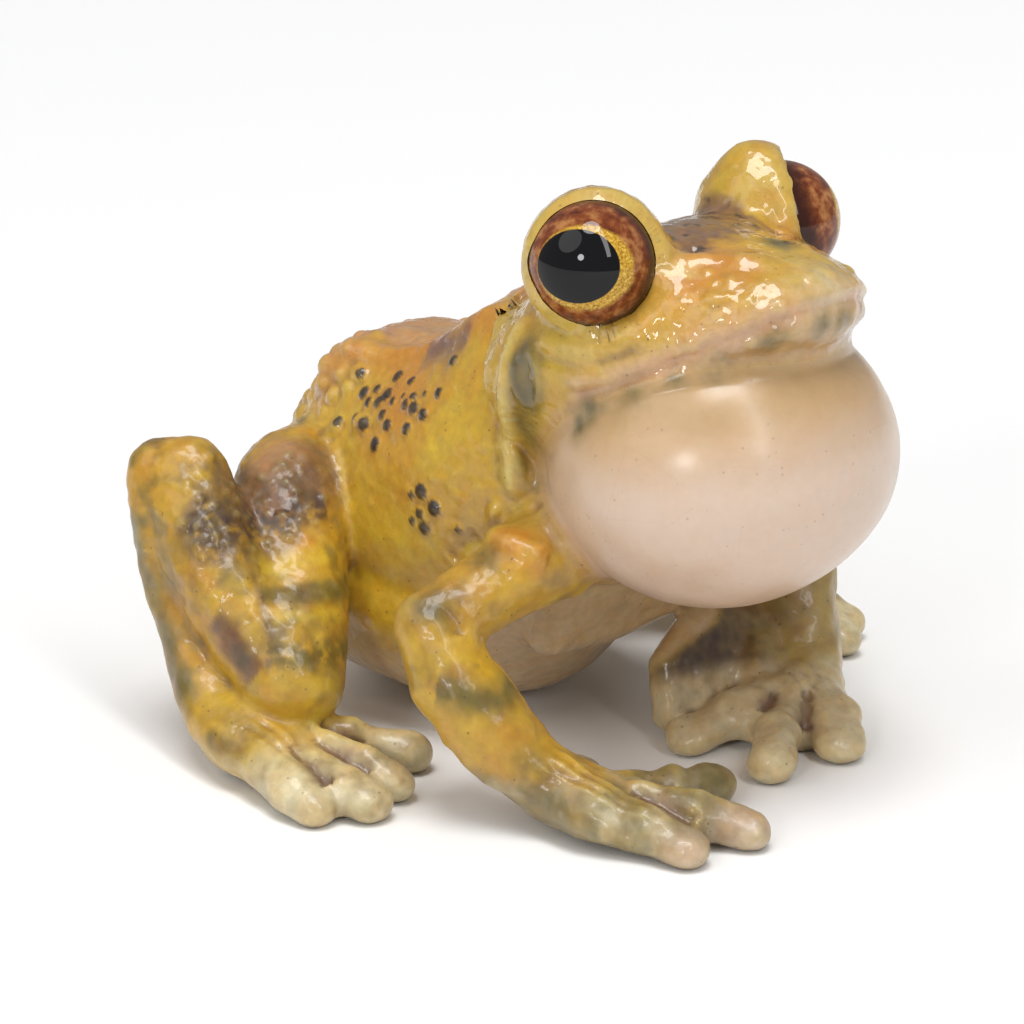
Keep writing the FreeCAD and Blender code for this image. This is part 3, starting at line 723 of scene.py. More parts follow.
MUSTARD, OCHRE, ORANGE = rgb(200, 162, 44), rgb(190, 140, 40), rgb(204, 132, 38)
LEMON, PALE_YELLOW, CREAM = rgb(216, 184, 48), rgb(222, 198, 112), rgb(220, 206, 166)
PINK_TAN, MAUVE, DARK_MAUVE = rgb(196, 146, 98), rgb(112, 76, 58), rgb(64, 45, 38)
OLIVE, DARK_OLIVE, GREY_OLIVE = rgb(106, 94, 40), rgb(70, 64, 36), rgb(122, 112, 78)
SHELL_PINK, BELLY_BEIGE, LIP_PINK = rgb(216, 191, 170), rgb(196, 168, 128), rgb(216, 176, 142)
BLACK_BROWN, SMUDGE = rgb(44, 34, 28), rgb(104, 82, 84)
TAN = rgb(192, 154, 102)
PAINT = np.tile(MUSTARD, (len(P), 1))
EDGE_NOISE = rough_noise(2.2, 51)
FINE_NOISE = rough_noise(0.8, 61)


def paint(colour, amount, ragged=0.35):
    """Brush a colour on, with an uneven edge."""
    global PAINT
    broad_edge = ragged * EDGE_NOISE * np.minimum(amount, 1 - amount) * 2
    fine_edge = 0.5 * ragged * FINE_NOISE * (amount > 0.02) * np.minimum(1, amount * 3)
    PAINT = PAINT + np.clip(amount + broad_edge + fine_edge, 0, 1)[:, None] * (colour - PAINT)


broad = rough_noise(7.0, 71)
paint(LEMON, 0.6 * rise(broad, -0.1, 0.5))
paint(OCHRE, 0.5 * rise(-broad, 0.0, 0.6))
paint(ORANGE, 0.62 * TORSO * blob((14.5, 12, 37), 7.0) + 0.6 * TORSO * line_on(BACK_FOLD, 2.6))
paint(ORANGE, 0.9 * HEAD * (blob((6.5, -24.5, 54.5), 4.8) + 0.6 * blob((12, -22, 51), 3.0)))
saddle = rise(HEIGHT - 0.35 * OUT, 30, 37) * rise(ALONG + 3.0 * broad, -9.0, -3.0)
saddle *= rise(8.5 + 2.5 * EDGE_NOISE + 1.5 * broad - OUT, 0, 3.0)
paint(PINK_TAN, 0.85 * saddle * (TORSO + HEAD) + 0.6 * TORSO * blob((8, 27, 34), 6.0))
paint(ORANGE, 0.35 * DORSAL * patches(4.0, 75, 0.1, 0.6))
paint(SMUDGE, 0.75 * TORSO * (line_on([(9.8, 12, 40.4), (10.4, 8, 41.6), (10.8, 3.5, 42.8)], 1.9)
                              + 0.5 * blob((12.8, 6, 40), 1.2)))

# Belly, chest and underside.
under = rise(-N[:, 2], -0.1, 0.55)
belly = TORSO * np.clip(rise(15.0 - HEIGHT, -3, 4) * rise(16.5 - OUT, -1, 4)
                        + rise(-1.0 - ALONG, 0, 4) * rise(22 - HEIGHT, 0, 4) + 0.8 * under, 0, 1)
paint(BELLY_BEIGE, 0.95 * belly)
paint(MAUVE, 0.22 * belly * patches(3.0, 77, 0.1, 0.7))

# Limbs: bands and patches.
paint(rgb(128, 102, 46), 0.6 * np.maximum(LEGS, ARMS) * patches(4.5, 101, 0.0, 0.5))
paint(OCHRE, 0.5 * LEGS * rise(ALONG, 8, 16))
paint(ORANGE, 0.6 * LEGS * blob((25.5, 13.5, 22), 3.0, power=1.5))
paint(OLIVE, 0.55 * LEGS * patches(3.0, 81, 0.05, 0.45) * rise(ALONG, 8, 12))
paint(MAUVE, 0.95 * LEGS * blob((24, 19, 27.5), 6.4, stretch=(1.2, 1, 0.8), power=2))
paint(OLIVE, 0.65 * LEGS * blob((26, 20, 29), 5.5) * rise(FINE_NOISE, -0.4, 0.4))
paint(PINK_TAN, 0.6 * LEGS * blob((22, 22, 29.5), 3.2, power=2))
FRONT_BAND = [(30, 17.5, 24.6), (27, 17, 25.2), (23.5, 16, 25), (20.5, 15.5, 24.5)]
LOW_BAND = [(34, 9, 13.4), (31.6, 6.5, 12.9), (27, 6.3, 12.2), (23.5, 8.5, 11.8)]
SHANK_EDGE = [(36.6, 28, 25), (37, 27, 20), (38, 23, 14), (38.9, 18, 8)]
KNEE_CREASE_SHADOW = [(29.8, 17.5, 27), (31.4, 14, 23), (33, 10.8, 18.5), (34, 8, 13.5)]
paint(DARK_MAUVE, 0.85 * LEGS * line_on(FRONT_BAND, 2.2, fade=0.05, power=3) * rise(FINE_NOISE, -0.5, 0.2))
for colour, amount, points, width, fade in (
    (LEMON, 0.7, [(30.5, 13.5, 21.5), (27, 12.4, 21.4), (23, 12.4, 21)], 1.3, 0.1),
    (OLIVE, 0.9, [(32.3, 12.2, 18.8), (28.4, 10.2, 18), (23.8, 10, 17.4), (21, 12.5, 17.2)], 1.3, 0.05),
    (LEMON, 0.5, [(32.6, 10.6, 16.2), (28.4, 8.4, 15.8), (24, 8.6, 15.4)], 0.9, 0.1),
):
    paint(colour, amount * LEGS * line_on(points, width, fade=fade, power=3))
paint(OLIVE, 0.9 * LEGS * line_on(LOW_BAND, 1.7, fade=0.05, power=3) * rise(FINE_NOISE, -0.7, 0.0))
paint(LEMON, 0.9 * blob((28.5, 5.5, 6.6), 4.6, power=2) * LEGS)
knee = LEGS * blob((33, 18.5, 24.2), 3.6, stretch=(1, 1, 1.2), power=2)
paint(DARK_MAUVE, knee * rise(FINE_NOISE, -0.8, 0.1))
paint(OLIVE, 0.7 * LEGS * blob((35, 22, 20), 3.0, power=1.5))
SHIN = [(36.2, 15, 16.5), (35.8, 11.8, 13.8), (35.4, 9, 11.3)]
paint(MAUVE, 0.9 * LEGS * line_on(SHIN, 1.8, fade=0.1, power=3))
paint(DARK_OLIVE, 0.6 * LEGS * blob((36, 11, 13), 1.6))
paint(GREY_OLIVE, 0.85 * LEGS * line_on(SHANK_EDGE, 1.5, fade=0.1, power=3))
paint(OLIVE, 0.75 * LEGS * blob((38.5, 17.5, 8), 2.0) + 0.6 * LEGS * blob((37, 11.5, 6.5), 1.6))
paint(MAUVE, 0.5 * LEGS * rise(ALONG, 30, 36))
# Painted shadow: a thin dark mauve line along the crease between thigh and shank.
paint(DARK_MAUVE, 0.6 * LEGS * line_on(KNEE_CREASE_SHADOW, 0.5, fade=0.1))

feet = LEGS * rise(7.5 - HEIGHT, 0, 3.5) * rise(8.0 - ALONG, 0, 5)
paint(CREAM, 0.9 * feet)
paint(GREY_OLIVE, 0.6 * feet * patches(2.0, 83, -0.1, 0.5))
paint(MAUVE, 0.3 * feet * patches(1.6, 99, 0.1, 0.6))
paint(PALE_YELLOW, 0.4 * feet * rise(HEIGHT, 3, 7))
paint(CREAM, 0.5 * LEGS * rise(5.0 - HEIGHT, 0, 3))

paint(OCHRE, 0.4 * ARMS)
paint(ORANGE, 0.6 * line_on([(19.8, -9, 27), (19.4, -12, 26.6), (17.5, -14.6, 25.6)], 2.0))
paint(OLIVE, 0.85 * ARMS * (blob((28.6, -9.3, 21.7), 2.4) + 0.9 * blob((21.8, -10, 25), 1.8)))
paint(DARK_OLIVE, 0.5 * ARMS * (blob((28.6, -9.3, 21.7), 1.4)
                                + line_on([(30, -14.5, 14.7), (27, -16.3, 13.6)], 0.9)))
ARM_BAND = [(31, -12.5, 14.9), (28.5, -15.5, 14.4), (26, -16.5, 13), (24, -14, 13.5)]
paint(OLIVE, 0.9 * ARMS * line_on(ARM_BAND, 1.7, fade=0.05))
paint(OLIVE, 0.7 * ARMS * (blob((25, -20.7, 8.1), 2.0, sides=(-1,)) + blob((22.5, -14, 9), 2.0, sides=(1,))))
hands = ARMS * rise(7.6 - HEIGHT, 0, 3)
LEFT_ARM, RIGHT_ARM = on("left_foreleg"), on("right_foreleg")
left_arm = LEFT_ARM * rise(24.0 - HEIGHT, 0, 8)
paint(rgb(158, 138, 84), 0.9 * left_arm)
# Painted shade under the sac: mauve patches on the far arm, and a dark mauve patch behind its hand over the web.
paint(MAUVE, 0.4 * left_arm * patches(3.0, 95, -0.3, 0.5))
paint(DARK_MAUVE, 0.85 * LEFT_ARM * blob((8.5, -11, 8), 5.5, stretch=(1.4, 0.9, 0.9), power=2))
paint(rgb(112, 90, 46), 0.45 * np.maximum(LEGS, RIGHT_ARM) * patches(2.6, 103, 0.05, 0.5))
paint(GREY_OLIVE, 0.85 * hands * RIGHT_ARM)
paint(rgb(194, 172, 132), 0.9 * hands * LEFT_ARM)
paint(MAUVE, 0.35 * hands * LEFT_ARM * patches(2.6, 97, 0.0, 0.5))
paint(CREAM, 0.45 * hands * patches(2.4, 87, -0.2, 0.5))
paint(OLIVE, 0.5 * hands * RIGHT_ARM * patches(1.8, 89, 0.0, 0.5))
paint(CREAM, 0.45 * hands * LEFT_ARM)
paint(OLIVE, 0.5 * ARMS * (line_on([(18, -31.3, 4.8), (14, -34, 4.2), (11.5, -37, 3)], 1.6, sides=(-1,))
                           + blob((6.5, -27, 3.5), 4.0, sides=(-1,))))
tips = ARMS * (blob((20.2, -36.5, 1.6), 3.0, sides=(-1,)) + blob((12, -36, 1.6), 3.0, sides=(-1,)))
paint(SHELL_PINK, 0.8 * tips)

# Head: crown, lips, nostrils, ear.
wobble = 2.0 * EDGE_NOISE
crown = 1.4 * HEAD * rise(7.6 + wobble - OUT, 0, 2.0) * rise(ALONG + wobble, -24.5, -21.0)
crown *= rise(wobble - ALONG, 2.0, 8.0) * rise(HEIGHT, 50, 53) * rise(59.0 - HEIGHT, 0, 1.0)
crown = np.clip(crown, 0, 1)
crown *= 1 - (SIDE_OF == 1) * rise(OUT, 5.5, 6.5)
paint(MAUVE, 0.85 * crown)
paint(PINK_TAN, 0.25 * crown * patches(2.0, 91, 0.0, 0.5))
paint(BLACK_BROWN, 0.9 * crown * rise(noise(0.9, 93), 0.32, 0.55))
paint(BLACK_BROWN, 0.5 * crown * rise(blob((9, -11, 55), 3.5), 0.3, 0.8))
paint(OLIVE, 0.8 * HEAD * blob((1.8, -26.3, 55.9), 2.0, sides=(1,), power=1.5))
paint(DARK_OLIVE, 0.8 * blob(NOSTRIL, 0.7) + 0.85 * HEAD * blob((2.2, -26, 56), 1.1, sides=(1,), power=1.5))
mouth_line = np.array(MOUTH)[::-1]
lip_height = np.interp(ALONG, mouth_line[:, 1], mouth_line[:, 2])
chin = HEAD * rise(lip_height + 0.3 - HEIGHT, 0, 1.2) * rise(-ALONG, 15.5, 19.0)
paint(TAN, 0.95 * chin, ragged=0.15)
paint(LIP_PINK, 0.85 * line_on(beside(MOUTH, 0.3), 1.8, fade=(0.1, 0), power=2))
paint(CREAM, 0.6 * blob((0, -35, 53.5), 3.5) * HEAD)

# Sac: shell pink, yellow-olive near the jaw and the chest, and painted shade low down.
SAC_MIDDLE = (corners("vocal_sac")[0] + corners("vocal_sac")[1]) / 2
sac_high = rise(HEIGHT + 0.25 * (ALONG - SAC_MIDDLE[1]), 31.0, 42.0)
sac_all = rise(SAC, 0.3, 0.9)
SAC_WIDE = blurred(SAC, int(200 * FINE))
sac_inner = rise(SAC_WIDE, 0.62, 0.98)
paint(TAN, sac_all, ragged=0)
paint(SHELL_PINK, sac_inner * (1 - 0.9 * sac_high), ragged=0.05)
paint(OLIVE, 0.14 * sac_all * rise(sac_high + 0.3 * broad, 0.7, 1.1), ragged=0.3)
# Painted shade: the lower part of the sac is painted a warmer, darker pink-tan.
paint(rgb(196, 156, 124), 0.6 * sac_all * rise(28.0 - HEIGHT, -4, 9), ragged=0)
around = rise(SAC_WIDE, 0.03, 0.4) * (1 - sac_all)
paint(TAN, 0.75 * around * rise(48.0 - HEIGHT, 0, 3), ragged=0.3)

# Smudges under the lip and round the ear.
paint(rgb(186, 138, 108), 0.4 * line_on(MOUTH, 0.35, fade=0.1), ragged=0.2)
off_lips = 1 - 0.6 * line_on(MOUTH, 0.8, fade=0)
for place, size in (((15.2, -18.5, 41.2), 1.7), ((13.6, -22.5, 43), 1.9), ((10.2, -29.6, 46.8), 1.7),
                    ((6.4, -32.8, 49), 1.9), ((1.5, -34.2, 50), 1.4), ((12, -26, 45), 1.0),
                    ((16.4, -17, 39.6), 1.4)):
    paint(OLIVE, 0.75 * blob(place, size) * off_lips, ragged=0.5)
    paint(DARK_OLIVE, 0.4 * blob(place, 0.5 * size) * off_lips, ragged=0.6)
ear_far = ear_far + 0.9 * EDGE_NOISE
paint(OLIVE, 0.85 * (1 - rise(ear_far, 1.8, 4.2)) * HEAD)
paint(DARK_OLIVE, 0.75 * np.exp(-((ear_far - 2.0) / 0.9) ** 2) * HEAD * rise(ALONG, -12.5, -10.5))
NECK = [(17.2, -9.2, 42), (17, -9.4, 39), (16.4, -9.2, 36), (15.8, -9.2, 33), (15.6, -9.6, 30)]
paint(OLIVE, 0.6 * line_on(NECK, 2.0, fade=0.1))
paint(DARK_OLIVE, 0.4 * line_on([(17, -9.4, 40), (16.4, -9.2, 36), (15.8, -9.2, 33)], 0.9, fade=0.2))
paint(PALE_YELLOW, 0.75 * line_on(EAR_FOLD, 0.9))
paint(PALE_YELLOW, 0.4 * LIDS)
paint(OCHRE, 0.35 * LIDS * rise(EDGE_NOISE, 0, 0.6))

# Warts are painted dark in the groups on the flank, and mauve on the leg.
paint(BLACK_BROWN, 0.95 * rise(DARK_WARTS, 0.25, 0.5), ragged=0.3)
thigh_top = rise(blob((25, 17.5, 26), 5.5), 0.1, 0.5)
paint(DARK_MAUVE, 0.75 * rise(LEG_WARTS, 0.4, 0.9) * thigh_top, ragged=0)
paint(MAUVE, 0.45 * rise(RUMP_WARTS, 0.4, 0.9) * rise(EDGE_NOISE, -0.3, 0.3), ragged=0)

# Painted shade: the creases are painted a thin brown, and raised parts are painted lighter.
CAVITY = blurred(((neighbour_mean(P) - P) * N).sum(1), 3) / VOXEL ** 2
crease_shade = rise(CAVITY, 0.035, 0.25) * (1 - line_on(MOUTH, 1.4, fade=0))
paint(MAUVE, 0.45 * crease_shade * (1 - 0.85 * sac_all) * (1 - 0.6 * belly), ragged=0.2)
raised_lighter = rise(-CAVITY, 0.05, 0.3) * (1 - sac_all)
paint(PALE_YELLOW, 0.22 * raised_lighter * (1 - rise(DARK_WARTS, 0.1, 0.4)), ragged=0.1)
# Painted shade between the toes and fingers: dark mauve in their hollows, and mauve along the grooves between the
# digits.
paint(DARK_MAUVE, 0.4 * np.clip(feet + hands, 0, 1) * rise(CAVITY, 0.05, 0.25), ragged=0.3)
paint(MAUVE, 0.5 * groove_field(1.3, (0.5, 0.3)), ragged=0.6)
paint(GREY_OLIVE, 0.4 * rise(1.2 - HEIGHT, 0, 1.2))


def soft_normals(normals, where, times):
    """Normals averaged with their neighbours' where asked, leaving out the sockets."""
    weight = 1.0 - 0.999 * SOCKETS[:, None]
    for _ in range(int(times * FINE)):
        mean = neighbour_mean(normals * weight) / np.maximum(neighbour_mean(weight), 1e-6)
        mean /= np.maximum(np.linalg.norm(mean, axis=1), 1e-9)[:, None]
        normals = np.where((where * (1 - SOCKETS))[:, None] > 0.05, mean, normals)
    return normals


LID_ZONE = sum(np.exp(-((np.linalg.norm(P - centre, axis=1) - radius) / 2.6) ** 4) for centre, radius in EYES.values())
N = soft_normals(N, LID_ZONE, 14)


# ---- materials

def node_tree(name):
    material = bpy.data.materials.new(name)
    material.use_nodes = True
    tree = material.node_tree
    return material, tree, tree.nodes["Principled BSDF"]


def plug(tree, node, **inputs):
    """Give a node's inputs their links or values."""
    for key, value in inputs.items():
        connect(tree, value, node.inputs[key.replace("_", " ")])


def connect(tree, value, socket):
    if isinstance(value, bpy.types.NodeSocket):
        tree.links.new(value, socket)
    else:
        socket.default_value = value


def add_node(tree, kind, values=None, **inputs):
    node = tree.nodes.new("ShaderNode" + kind)
    for key, value in (values or {}).items():
        setattr(node, key, value)
    plug(tree, node, **inputs)
    return node


def noise_node(tree, place, scale, detail=2.0, rough=0.5):
    return add_node(tree, "TexNoise", Vector=place, Scale=scale, Detail=detail, Roughness=rough).outputs["Fac"]


def bump_node(tree, height, strength, distance):
    return add_node(tree, "Bump", Height=height, Strength=strength, Distance=distance).outputs["Normal"]


def mix_colour(tree, kind, share, first, second):
    node = add_node(tree, "Mix", {"data_type": "RGBA", "blend_type": kind, "clamp_result": True})
    for number, value in ((0, share), (6, first), (7, second)):
        connect(tree, value, node.inputs[number])
    return node.outputs[2]


def ramp(tree, source, *stops):
    """A colour ramp. A stop is a place and a colour, or one number for a grey."""
    node = add_node(tree, "ValToRGB", Fac=source)
    elements = node.color_ramp.elements
    while len(elements) < len(stops):
        elements.new(0.5)
    for element, (place, colour) in zip(elements, stops):
        element.position = place
        element.color = (*np.broadcast_to(colour, 3), 1)
    return node.outputs[0]


def painted(name, speckle, bump, coat_rough, coat=0.6, crackle=0.0, strokes=1.0, glints=0.0005):
    """Brushed paint under a glossy varnish: uneven strokes, fine dark specks, and a lightly pebbled coat."""
    material, tree, shader = node_tree(name)
    place = add_node(tree, "TexCoord").outputs["Object"]
    colour = add_node(tree, "Attribute", {"attribute_name": "paint"}).outputs["Color"]
    stroke = ramp(tree, noise_node(tree, place, 900, 4, 0.6), (0.3, 0.8), (0.7, 1))
    colour = mix_colour(tree, "MULTIPLY", strokes, colour, stroke)
    warm = noise_node(tree, place, 420, 3)
    warmth = ramp(tree, warm, (0.35, (1, 0.86, 0.72)), (0.6, 1))
    colour = mix_colour(tree, "MULTIPLY", 0.8 * strokes, colour, warmth)
    dots = add_node(tree, "TexVoronoi", {"feature": "F1"}, Vector=place, Scale=1100, Randomness=1).outputs["Distance"]
    few = ramp(tree, noise_node(tree, place, 600, 1), (0.56, 0), (0.62, speckle))
    spots = mix_colour(tree, "MULTIPLY", 1.0, ramp(tree, dots, (0.1, 1), (0.2, 0)), few)
    colour = mix_colour(tree, "MIX", spots, colour, (0.05, 0.032, 0.022, 1))
    if crackle:
        cells = add_node(tree, "TexVoronoi", {"feature": "DISTANCE_TO_EDGE"}, Vector=place, Scale=130)
        line = ramp(tree, cells.outputs["Distance"], (0, crackle), (0.012, 0))
        patch = ramp(tree, noise_node(tree, place, 80), (0.52, 0), (0.6, 1))
        line = mix_colour(tree, "MULTIPLY", 1.0, line, patch)
        colour = mix_colour(tree, "MIX", line, colour, (0.45, 0.2, 0.13, 1))
    plug(tree, shader, Base_Color=colour, Roughness=ramp(tree, warm, (0.3, 0.34), (0.7, 0.5)),
         Normal=bump_node(tree, noise_node(tree, place, 1300, 3, 0.55), bump, 0.00012),
         Coat_Normal=bump_node(tree, noise_node(tree, place, 560, 1), bump, glints),
         Coat_Weight=coat, Coat_Roughness=coat_rough, Coat_IOR=1.5)
    return material


PAINTS = {
    "body_resin": painted("painted_body", speckle=0.5, bump=0.6, coat_rough=0.12),
    "head_resin": painted("painted_head", speckle=0.45, bump=0.6, coat_rough=0.07, coat=0.9, glints=0.0006),
    "limb_resin": painted("painted_limb", speckle=0.55, bump=0.55, coat_rough=0.14, coat=0.36),
    "sac_resin": painted("painted_sac", speckle=0.25, bump=0.15, crackle=0.12, strokes=0.25, coat_rough=0.24,
                         coat=0.75, glints=0.0001),
}


# ---- the skin, split into its castings

def new_piece(name, node, material, places, faces, normals=None):
    """A smooth mesh piece at places in mm, tied to the frame."""
    mesh = bpy.data.meshes.new(name)
    mesh.from_pydata((places * MM).tolist(), [], faces)
    mesh.polygons.foreach_set("use_smooth", np.ones(len(mesh.polygons), bool))
    if normals is not None:
        mesh.normals_split_custom_set_from_vertices(normals.tolist())
    mesh.materials.append(material)
    obj = bpy.data.objects.new(name, mesh)
    bpy.context.scene.collection.objects.link(obj)
    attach(obj, "root")
    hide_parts(node)
    return mesh


def loops_of(quads):
    """The closed loops of vertices round the edges that only one quad uses."""
    size = quads.max() + 1
    a, b = quads.ravel(), np.roll(quads, -1, axis=1).ravel()
    forward, backward = a * size + b, b * size + a
    open_edge = ~np.isin(forward, backward)
    after = {}
    for start, end in zip(a[open_edge].tolist(), b[open_edge].tolist()):
        after.setdefault(start, []).append(end)
    found = []
    while after:
        start = next(iter(after))
        loop, at = [start], start
        while True:
            ends = after[at]
            following = ends.pop()
            if not ends:
                del after[at]
            if following == start or following not in after:
                break
            loop.append(following)
            at = following
        found.append(loop)
    return found


FINAL_TREE = BVHTree.FromPolygons(P.tolist(), QUADS.tolist())


def buried(points, depth):
    """Points moved, where needed, to lie at least that many mm under the skin."""
    moved = []
    for point in points:
        found, normal = FINAL_TREE.find_nearest(Vector(point))[:2]
        height = (Vector(point) - found).dot(normal)
        moved.append(np.array(point) - max(0, height + depth) * np.array(normal))
    return np.array(moved)


def used_middle(quads, places):
    """The vertex nearest the middle of a piece."""
    return np.linalg.norm(places - places[np.unique(quads)].mean(0), axis=1).argmin()


CAP_DEPTH, HUB_DEPTH, CAP_RINGS = 1.2, 3.0, 8


def cap_rings(rim, places, directions):
    """Rings of places under the skin, from the rim of a cut to the middle of its cap."""
    first = places[rim] - CAP_DEPTH * directions[rim]
    middle = buried(first.mean(0)[None], HUB_DEPTH)
    rings = []
    for share in np.linspace(0, 1, CAP_RINGS + 1)[:-1]:
        depth = CAP_DEPTH + (HUB_DEPTH - CAP_DEPTH) * share
        rings.append(buried(first + share * (middle - first), depth))
    return rings, middle


def pairs(ring):
    """Each vertex of a closed ring with the next one."""
    return list(zip(ring.tolist(), np.roll(ring, -1).tolist()))


def split_skin():
    """One closed piece for each casting: its part of the skin, and a cap over each cut."""
    votes = np.stack([(LABEL[QUADS] == k).sum(1) for k in range(len(SKIN_SLOTS))], axis=1)
    owner = votes.argmax(1)
    for k, (node, slot) in enumerate(SKIN_SLOTS.items()):
        quads = QUADS[owner == k]
        used = np.unique(quads)
        remap = np.full(len(P), -1)
        remap[used] = np.arange(len(used))
        quads = remap[quads]
        places, directions, colours = P[used], N[used], PAINT[used]
        caps = []
        for loop in loops_of(quads):
            rim = np.array(loop)
            inner, middle = cap_rings(rim, places, directions)
            rows = [rim] + [len(places) + i * len(rim) + np.arange(len(rim)) for i in range(CAP_RINGS)]
            places = np.vstack([places, *inner, middle])
            hub, added = len(places) - 1, len(places) - len(directions)
            facing = middle[0] - places[used_middle(quads, places)]
            directions = np.vstack([directions, np.tile(facing / np.linalg.norm(facing), (added, 1))])
            colours = np.vstack([colours, np.tile(colours[rim].mean(0), (added, 1))])
            for outer, ring in zip(rows, rows[1:]):
                caps += [(b, a, c, d) for (a, b), (c, d) in zip(pairs(outer), pairs(ring))]
            caps += [(b, a, hub) for a, b in pairs(rows[-1])]
        mesh = new_piece(node + "_skin", node, PAINTS[slot], places, quads.tolist() + caps, directions)
        attribute = mesh.attributes.new("paint", "FLOAT_COLOR", "POINT")
        rgba = np.column_stack([colours, np.ones(len(colours))])
        attribute.data.foreach_set("color", rgba.astype(np.float32).ravel())


split_skin()


# ---- eyes

def iris_material(name, back):
    """A hand-painted eye under a thick glassy coat: black pupil, brushed gold ring, mahogany iris, dark rim.
    The pupil looks back from the pole by that share of the radius."""
    material, tree, shader = node_tree(name)
    aim = add_node(tree, "Attribute", {"attribute_name": "aim"}).outputs["Vector"]
    wander = add_node(tree, "TexNoise", Vector=aim, Scale=7, Detail=6, Roughness=0.75)
    shaken = add_node(tree, "VectorMath", {"operation": "MULTIPLY_ADD"})
    for number, value in enumerate((wander.outputs["Color"], (0.11, 0.11, 0), aim)):
        connect(tree, value, shaken.inputs[number])
    shaken = shaken.outputs[0]

    def ring(vector, middle, halves):
        """0 at the middle of an ellipse, and 1 on its edge."""
        part = add_node(tree, "Mapping", Vector=vector, Scale=(1 / halves[0], 1 / halves[1], 0),
                        Location=(-middle[0] / halves[0], -middle[1] / halves[1], 0))
        length = add_node(tree, "VectorMath", {"operation": "LENGTH"}, Vector=part.outputs["Vector"])
        return length.outputs["Value"]

    streaks = noise_node(tree, aim, 4.5, 5, 0.6)
    mahogany = ramp(tree, streaks, (0.32, rgb(78, 32, 16)), (0.5, rgb(128, 66, 34)), (0.66, rgb(176, 120, 70)))
    rim = ramp(tree, ring(shaken, (0.055, 0.055), (0.97, 0.97)), (0.9, 0), (1, 1))
    colour = mix_colour(tree, "MIX", rim, mahogany, (*rgb(58, 28, 20), 1))
    gold_edge = noise_node(tree, aim, 24, 5, 0.8)
    gold = ramp(tree, gold_edge, (0.35, rgb(120, 74, 20)), (0.5, rgb(196, 150, 44)), (0.66, rgb(236, 204, 104)))
    gold_area = ramp(tree, ring(shaken, (0.05 + back, -0.02), (0.77, 0.67)), (0.93, 1), (1, 0))
    colour = mix_colour(tree, "MIX", gold_area, colour, gold)
    pupil = ramp(tree, ring(aim, (0.09 + back, -0.06), (0.66, 0.57)), (0.975, 1), (0.995, 0))
    colour = mix_colour(tree, "MIX", pupil, colour, (0.004, 0.004, 0.005, 1))
    plug(tree, shader, Base_Color=colour, Roughness=0.5, Specular_IOR_Level=0.0, Coat_Weight=1.0, Coat_Roughness=0.02,
         Coat_IOR=1.4, Normal=bump_node(tree, streaks, 0.25, 0.0001))
    return material


def make_eye(side, material):
    """A ball with its pole along the gaze, so that the painted rings stay round."""
    centre, radius = EYES[side]
    gaze = GAZES[side]
    above, front = frame_round(gaze, side)
    rings, turns = 96, 128
    places, aims, faces = [], [], []
    for i in range(rings + 1):
        polar = math.pi * i / rings
        for j in range(turns if 0 < i < rings else 1):
            turn = 2 * math.pi * j / turns
            local = np.array([math.sin(polar) * math.cos(turn), math.sin(polar) * math.sin(turn), math.cos(polar)])
            places.append(centre + (radius - 0.02) * (local[0] * front + local[1] * above + local[2] * gaze))
            # Past the equator, the painted rings go on outward.
            across = np.hypot(local[0], local[1])
            aims.append(local if local[2] > 0 else local / max(across, 1e-6) * (2 - across))

    def row(i):
        """A ring's first vertex."""
        return max(0, 1 + (i - 1) * turns)

    for i in range(rings):
        for j in range(turns):
            k = (j + 1) % turns
            if i == 0:
                face = [0, row(1) + j, row(1) + k]
            elif i == rings - 1:
                face = [row(i) + j, row(rings), row(i) + k]
            else:
                face = [row(i) + j, row(i + 1) + j, row(i + 1) + k, row(i) + k]
            faces.append(face if SIDES[side] > 0 else face[::-1])
    mesh = new_piece(side + "_eyeball", side + "_eye", material, np.array(places), faces)
    attribute = mesh.attributes.new("aim", "FLOAT_VECTOR", "POINT")
    attribute.data.foreach_set("vector", np.array(aims, np.float32).ravel())


# The far eye looks further back, so that its pupil is mostly out of sight.
make_eye("right", iris_material("painted_eye", 0.0))
make_eye("left", iris_material("painted_far_eye", 0.2))


# ---- carried-over CAD nodes

def rubber():
    material, tree, shader = node_tree("plug_rubber")
    place = add_node(tree, "TexCoord").outputs["Object"]
    dust = noise_node(tree, place, 700, 5)
    plug(tree, shader, Base_Color=ramp(tree, dust, (0.35, 0.018), (0.75, 0.05)),
         Roughness=ramp(tree, dust, (0.3, 0.55), (0.7, 0.8)), Normal=bump_node(tree, dust, 0.3, 0.0001))
    return material


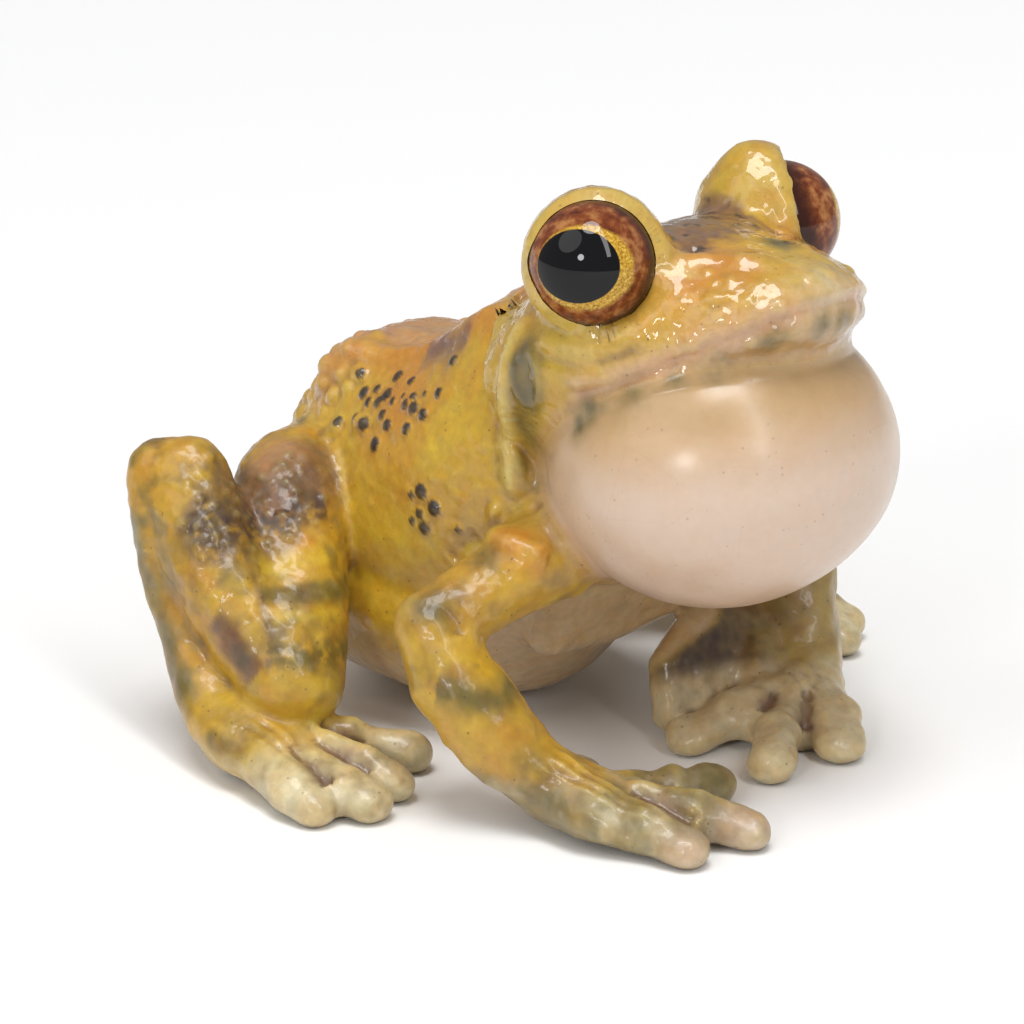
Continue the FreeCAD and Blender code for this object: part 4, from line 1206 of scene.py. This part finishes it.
def steel():
    material, tree, shader = node_tree("drawn_steel")
    place = add_node(tree, "TexCoord").outputs["Object"]
    stretch = add_node(tree, "Mapping", Vector=place, Scale=(60, 2500, 2500)).outputs["Vector"]
    lines = noise_node(tree, stretch, 1, 3)
    plug(tree, shader, Base_Color=ramp(tree, lines, (0.3, 0.42), (0.7, 0.6)),
         Roughness=ramp(tree, lines, (0.3, 0.25), (0.7, 0.42)), Metallic=1.0)
    return material


RUBBER, STEEL = rubber(), steel()
for name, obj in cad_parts.items():
    if name == "belly_plug" or name.endswith("dowel"):
        obj.data.materials.clear()
        obj.data.materials.append(RUBBER if name == "belly_plug" else STEEL)


# ---- stage and light

def make_floor():
    bm = bmesh.new()
    bmesh.ops.create_grid(bm, x_segments=8, y_segments=8, size=3.0)
    mesh = bpy.data.meshes.new("floor")
    bm.to_mesh(mesh)
    bm.free()
    obj = bpy.data.objects.new("floor", mesh)
    bpy.context.scene.collection.objects.link(obj)
    material, tree, shader = node_tree("floor_paper")
    plug(tree, shader, Base_Color=(0.93, 0.93, 0.93, 1), Roughness=0.85, Specular_IOR_Level=0.2)
    mesh.materials.append(material)
    obj.location.z = -0.0002


def add_light(name, data, azimuth, elevation, distance):
    """A light at that distance in metres, aimed at the middle of the figurine."""
    obj = bpy.data.objects.new(name, data)
    bpy.context.scene.collection.objects.link(obj)
    obj.location, obj.rotation_euler = look_from((0, 0, 0.03), azimuth, elevation, distance)


def sun(name, azimuth, elevation, strength, width):
    """An even light from one direction, as wide as a softbox of that many degrees."""
    data = bpy.data.lights.new(name, "SUN")
    data.energy = strength
    data.angle = math.radians(width)
    add_light(name, data, azimuth, elevation, 1.0)


def strip_light(name, azimuth, elevation, distance, width, height, power):
    data = bpy.data.lights.new(name, "AREA")
    data.shape = "RECTANGLE"
    data.size, data.size_y = width, height
    data.energy = power
    add_light(name, data, azimuth, elevation, distance)


make_floor()
sun("top_softbox", -60, 80, 1.45, 26)
sun("front_light", -68, 23, 0.5, 11)
strip_light("side_strip", -14, 50, 1.5, 0.2, 1.5, 6.5)
sun("left_fill", -105, 45, 0.5, 40)

world = bpy.data.worlds.new("studio")
bpy.context.scene.world = world
world.use_nodes = True
plug(world.node_tree, world.node_tree.nodes["Background"], Color=(1, 1, 1, 1), Strength=0.32)
bpy.context.scene.view_settings.view_transform = "Standard"
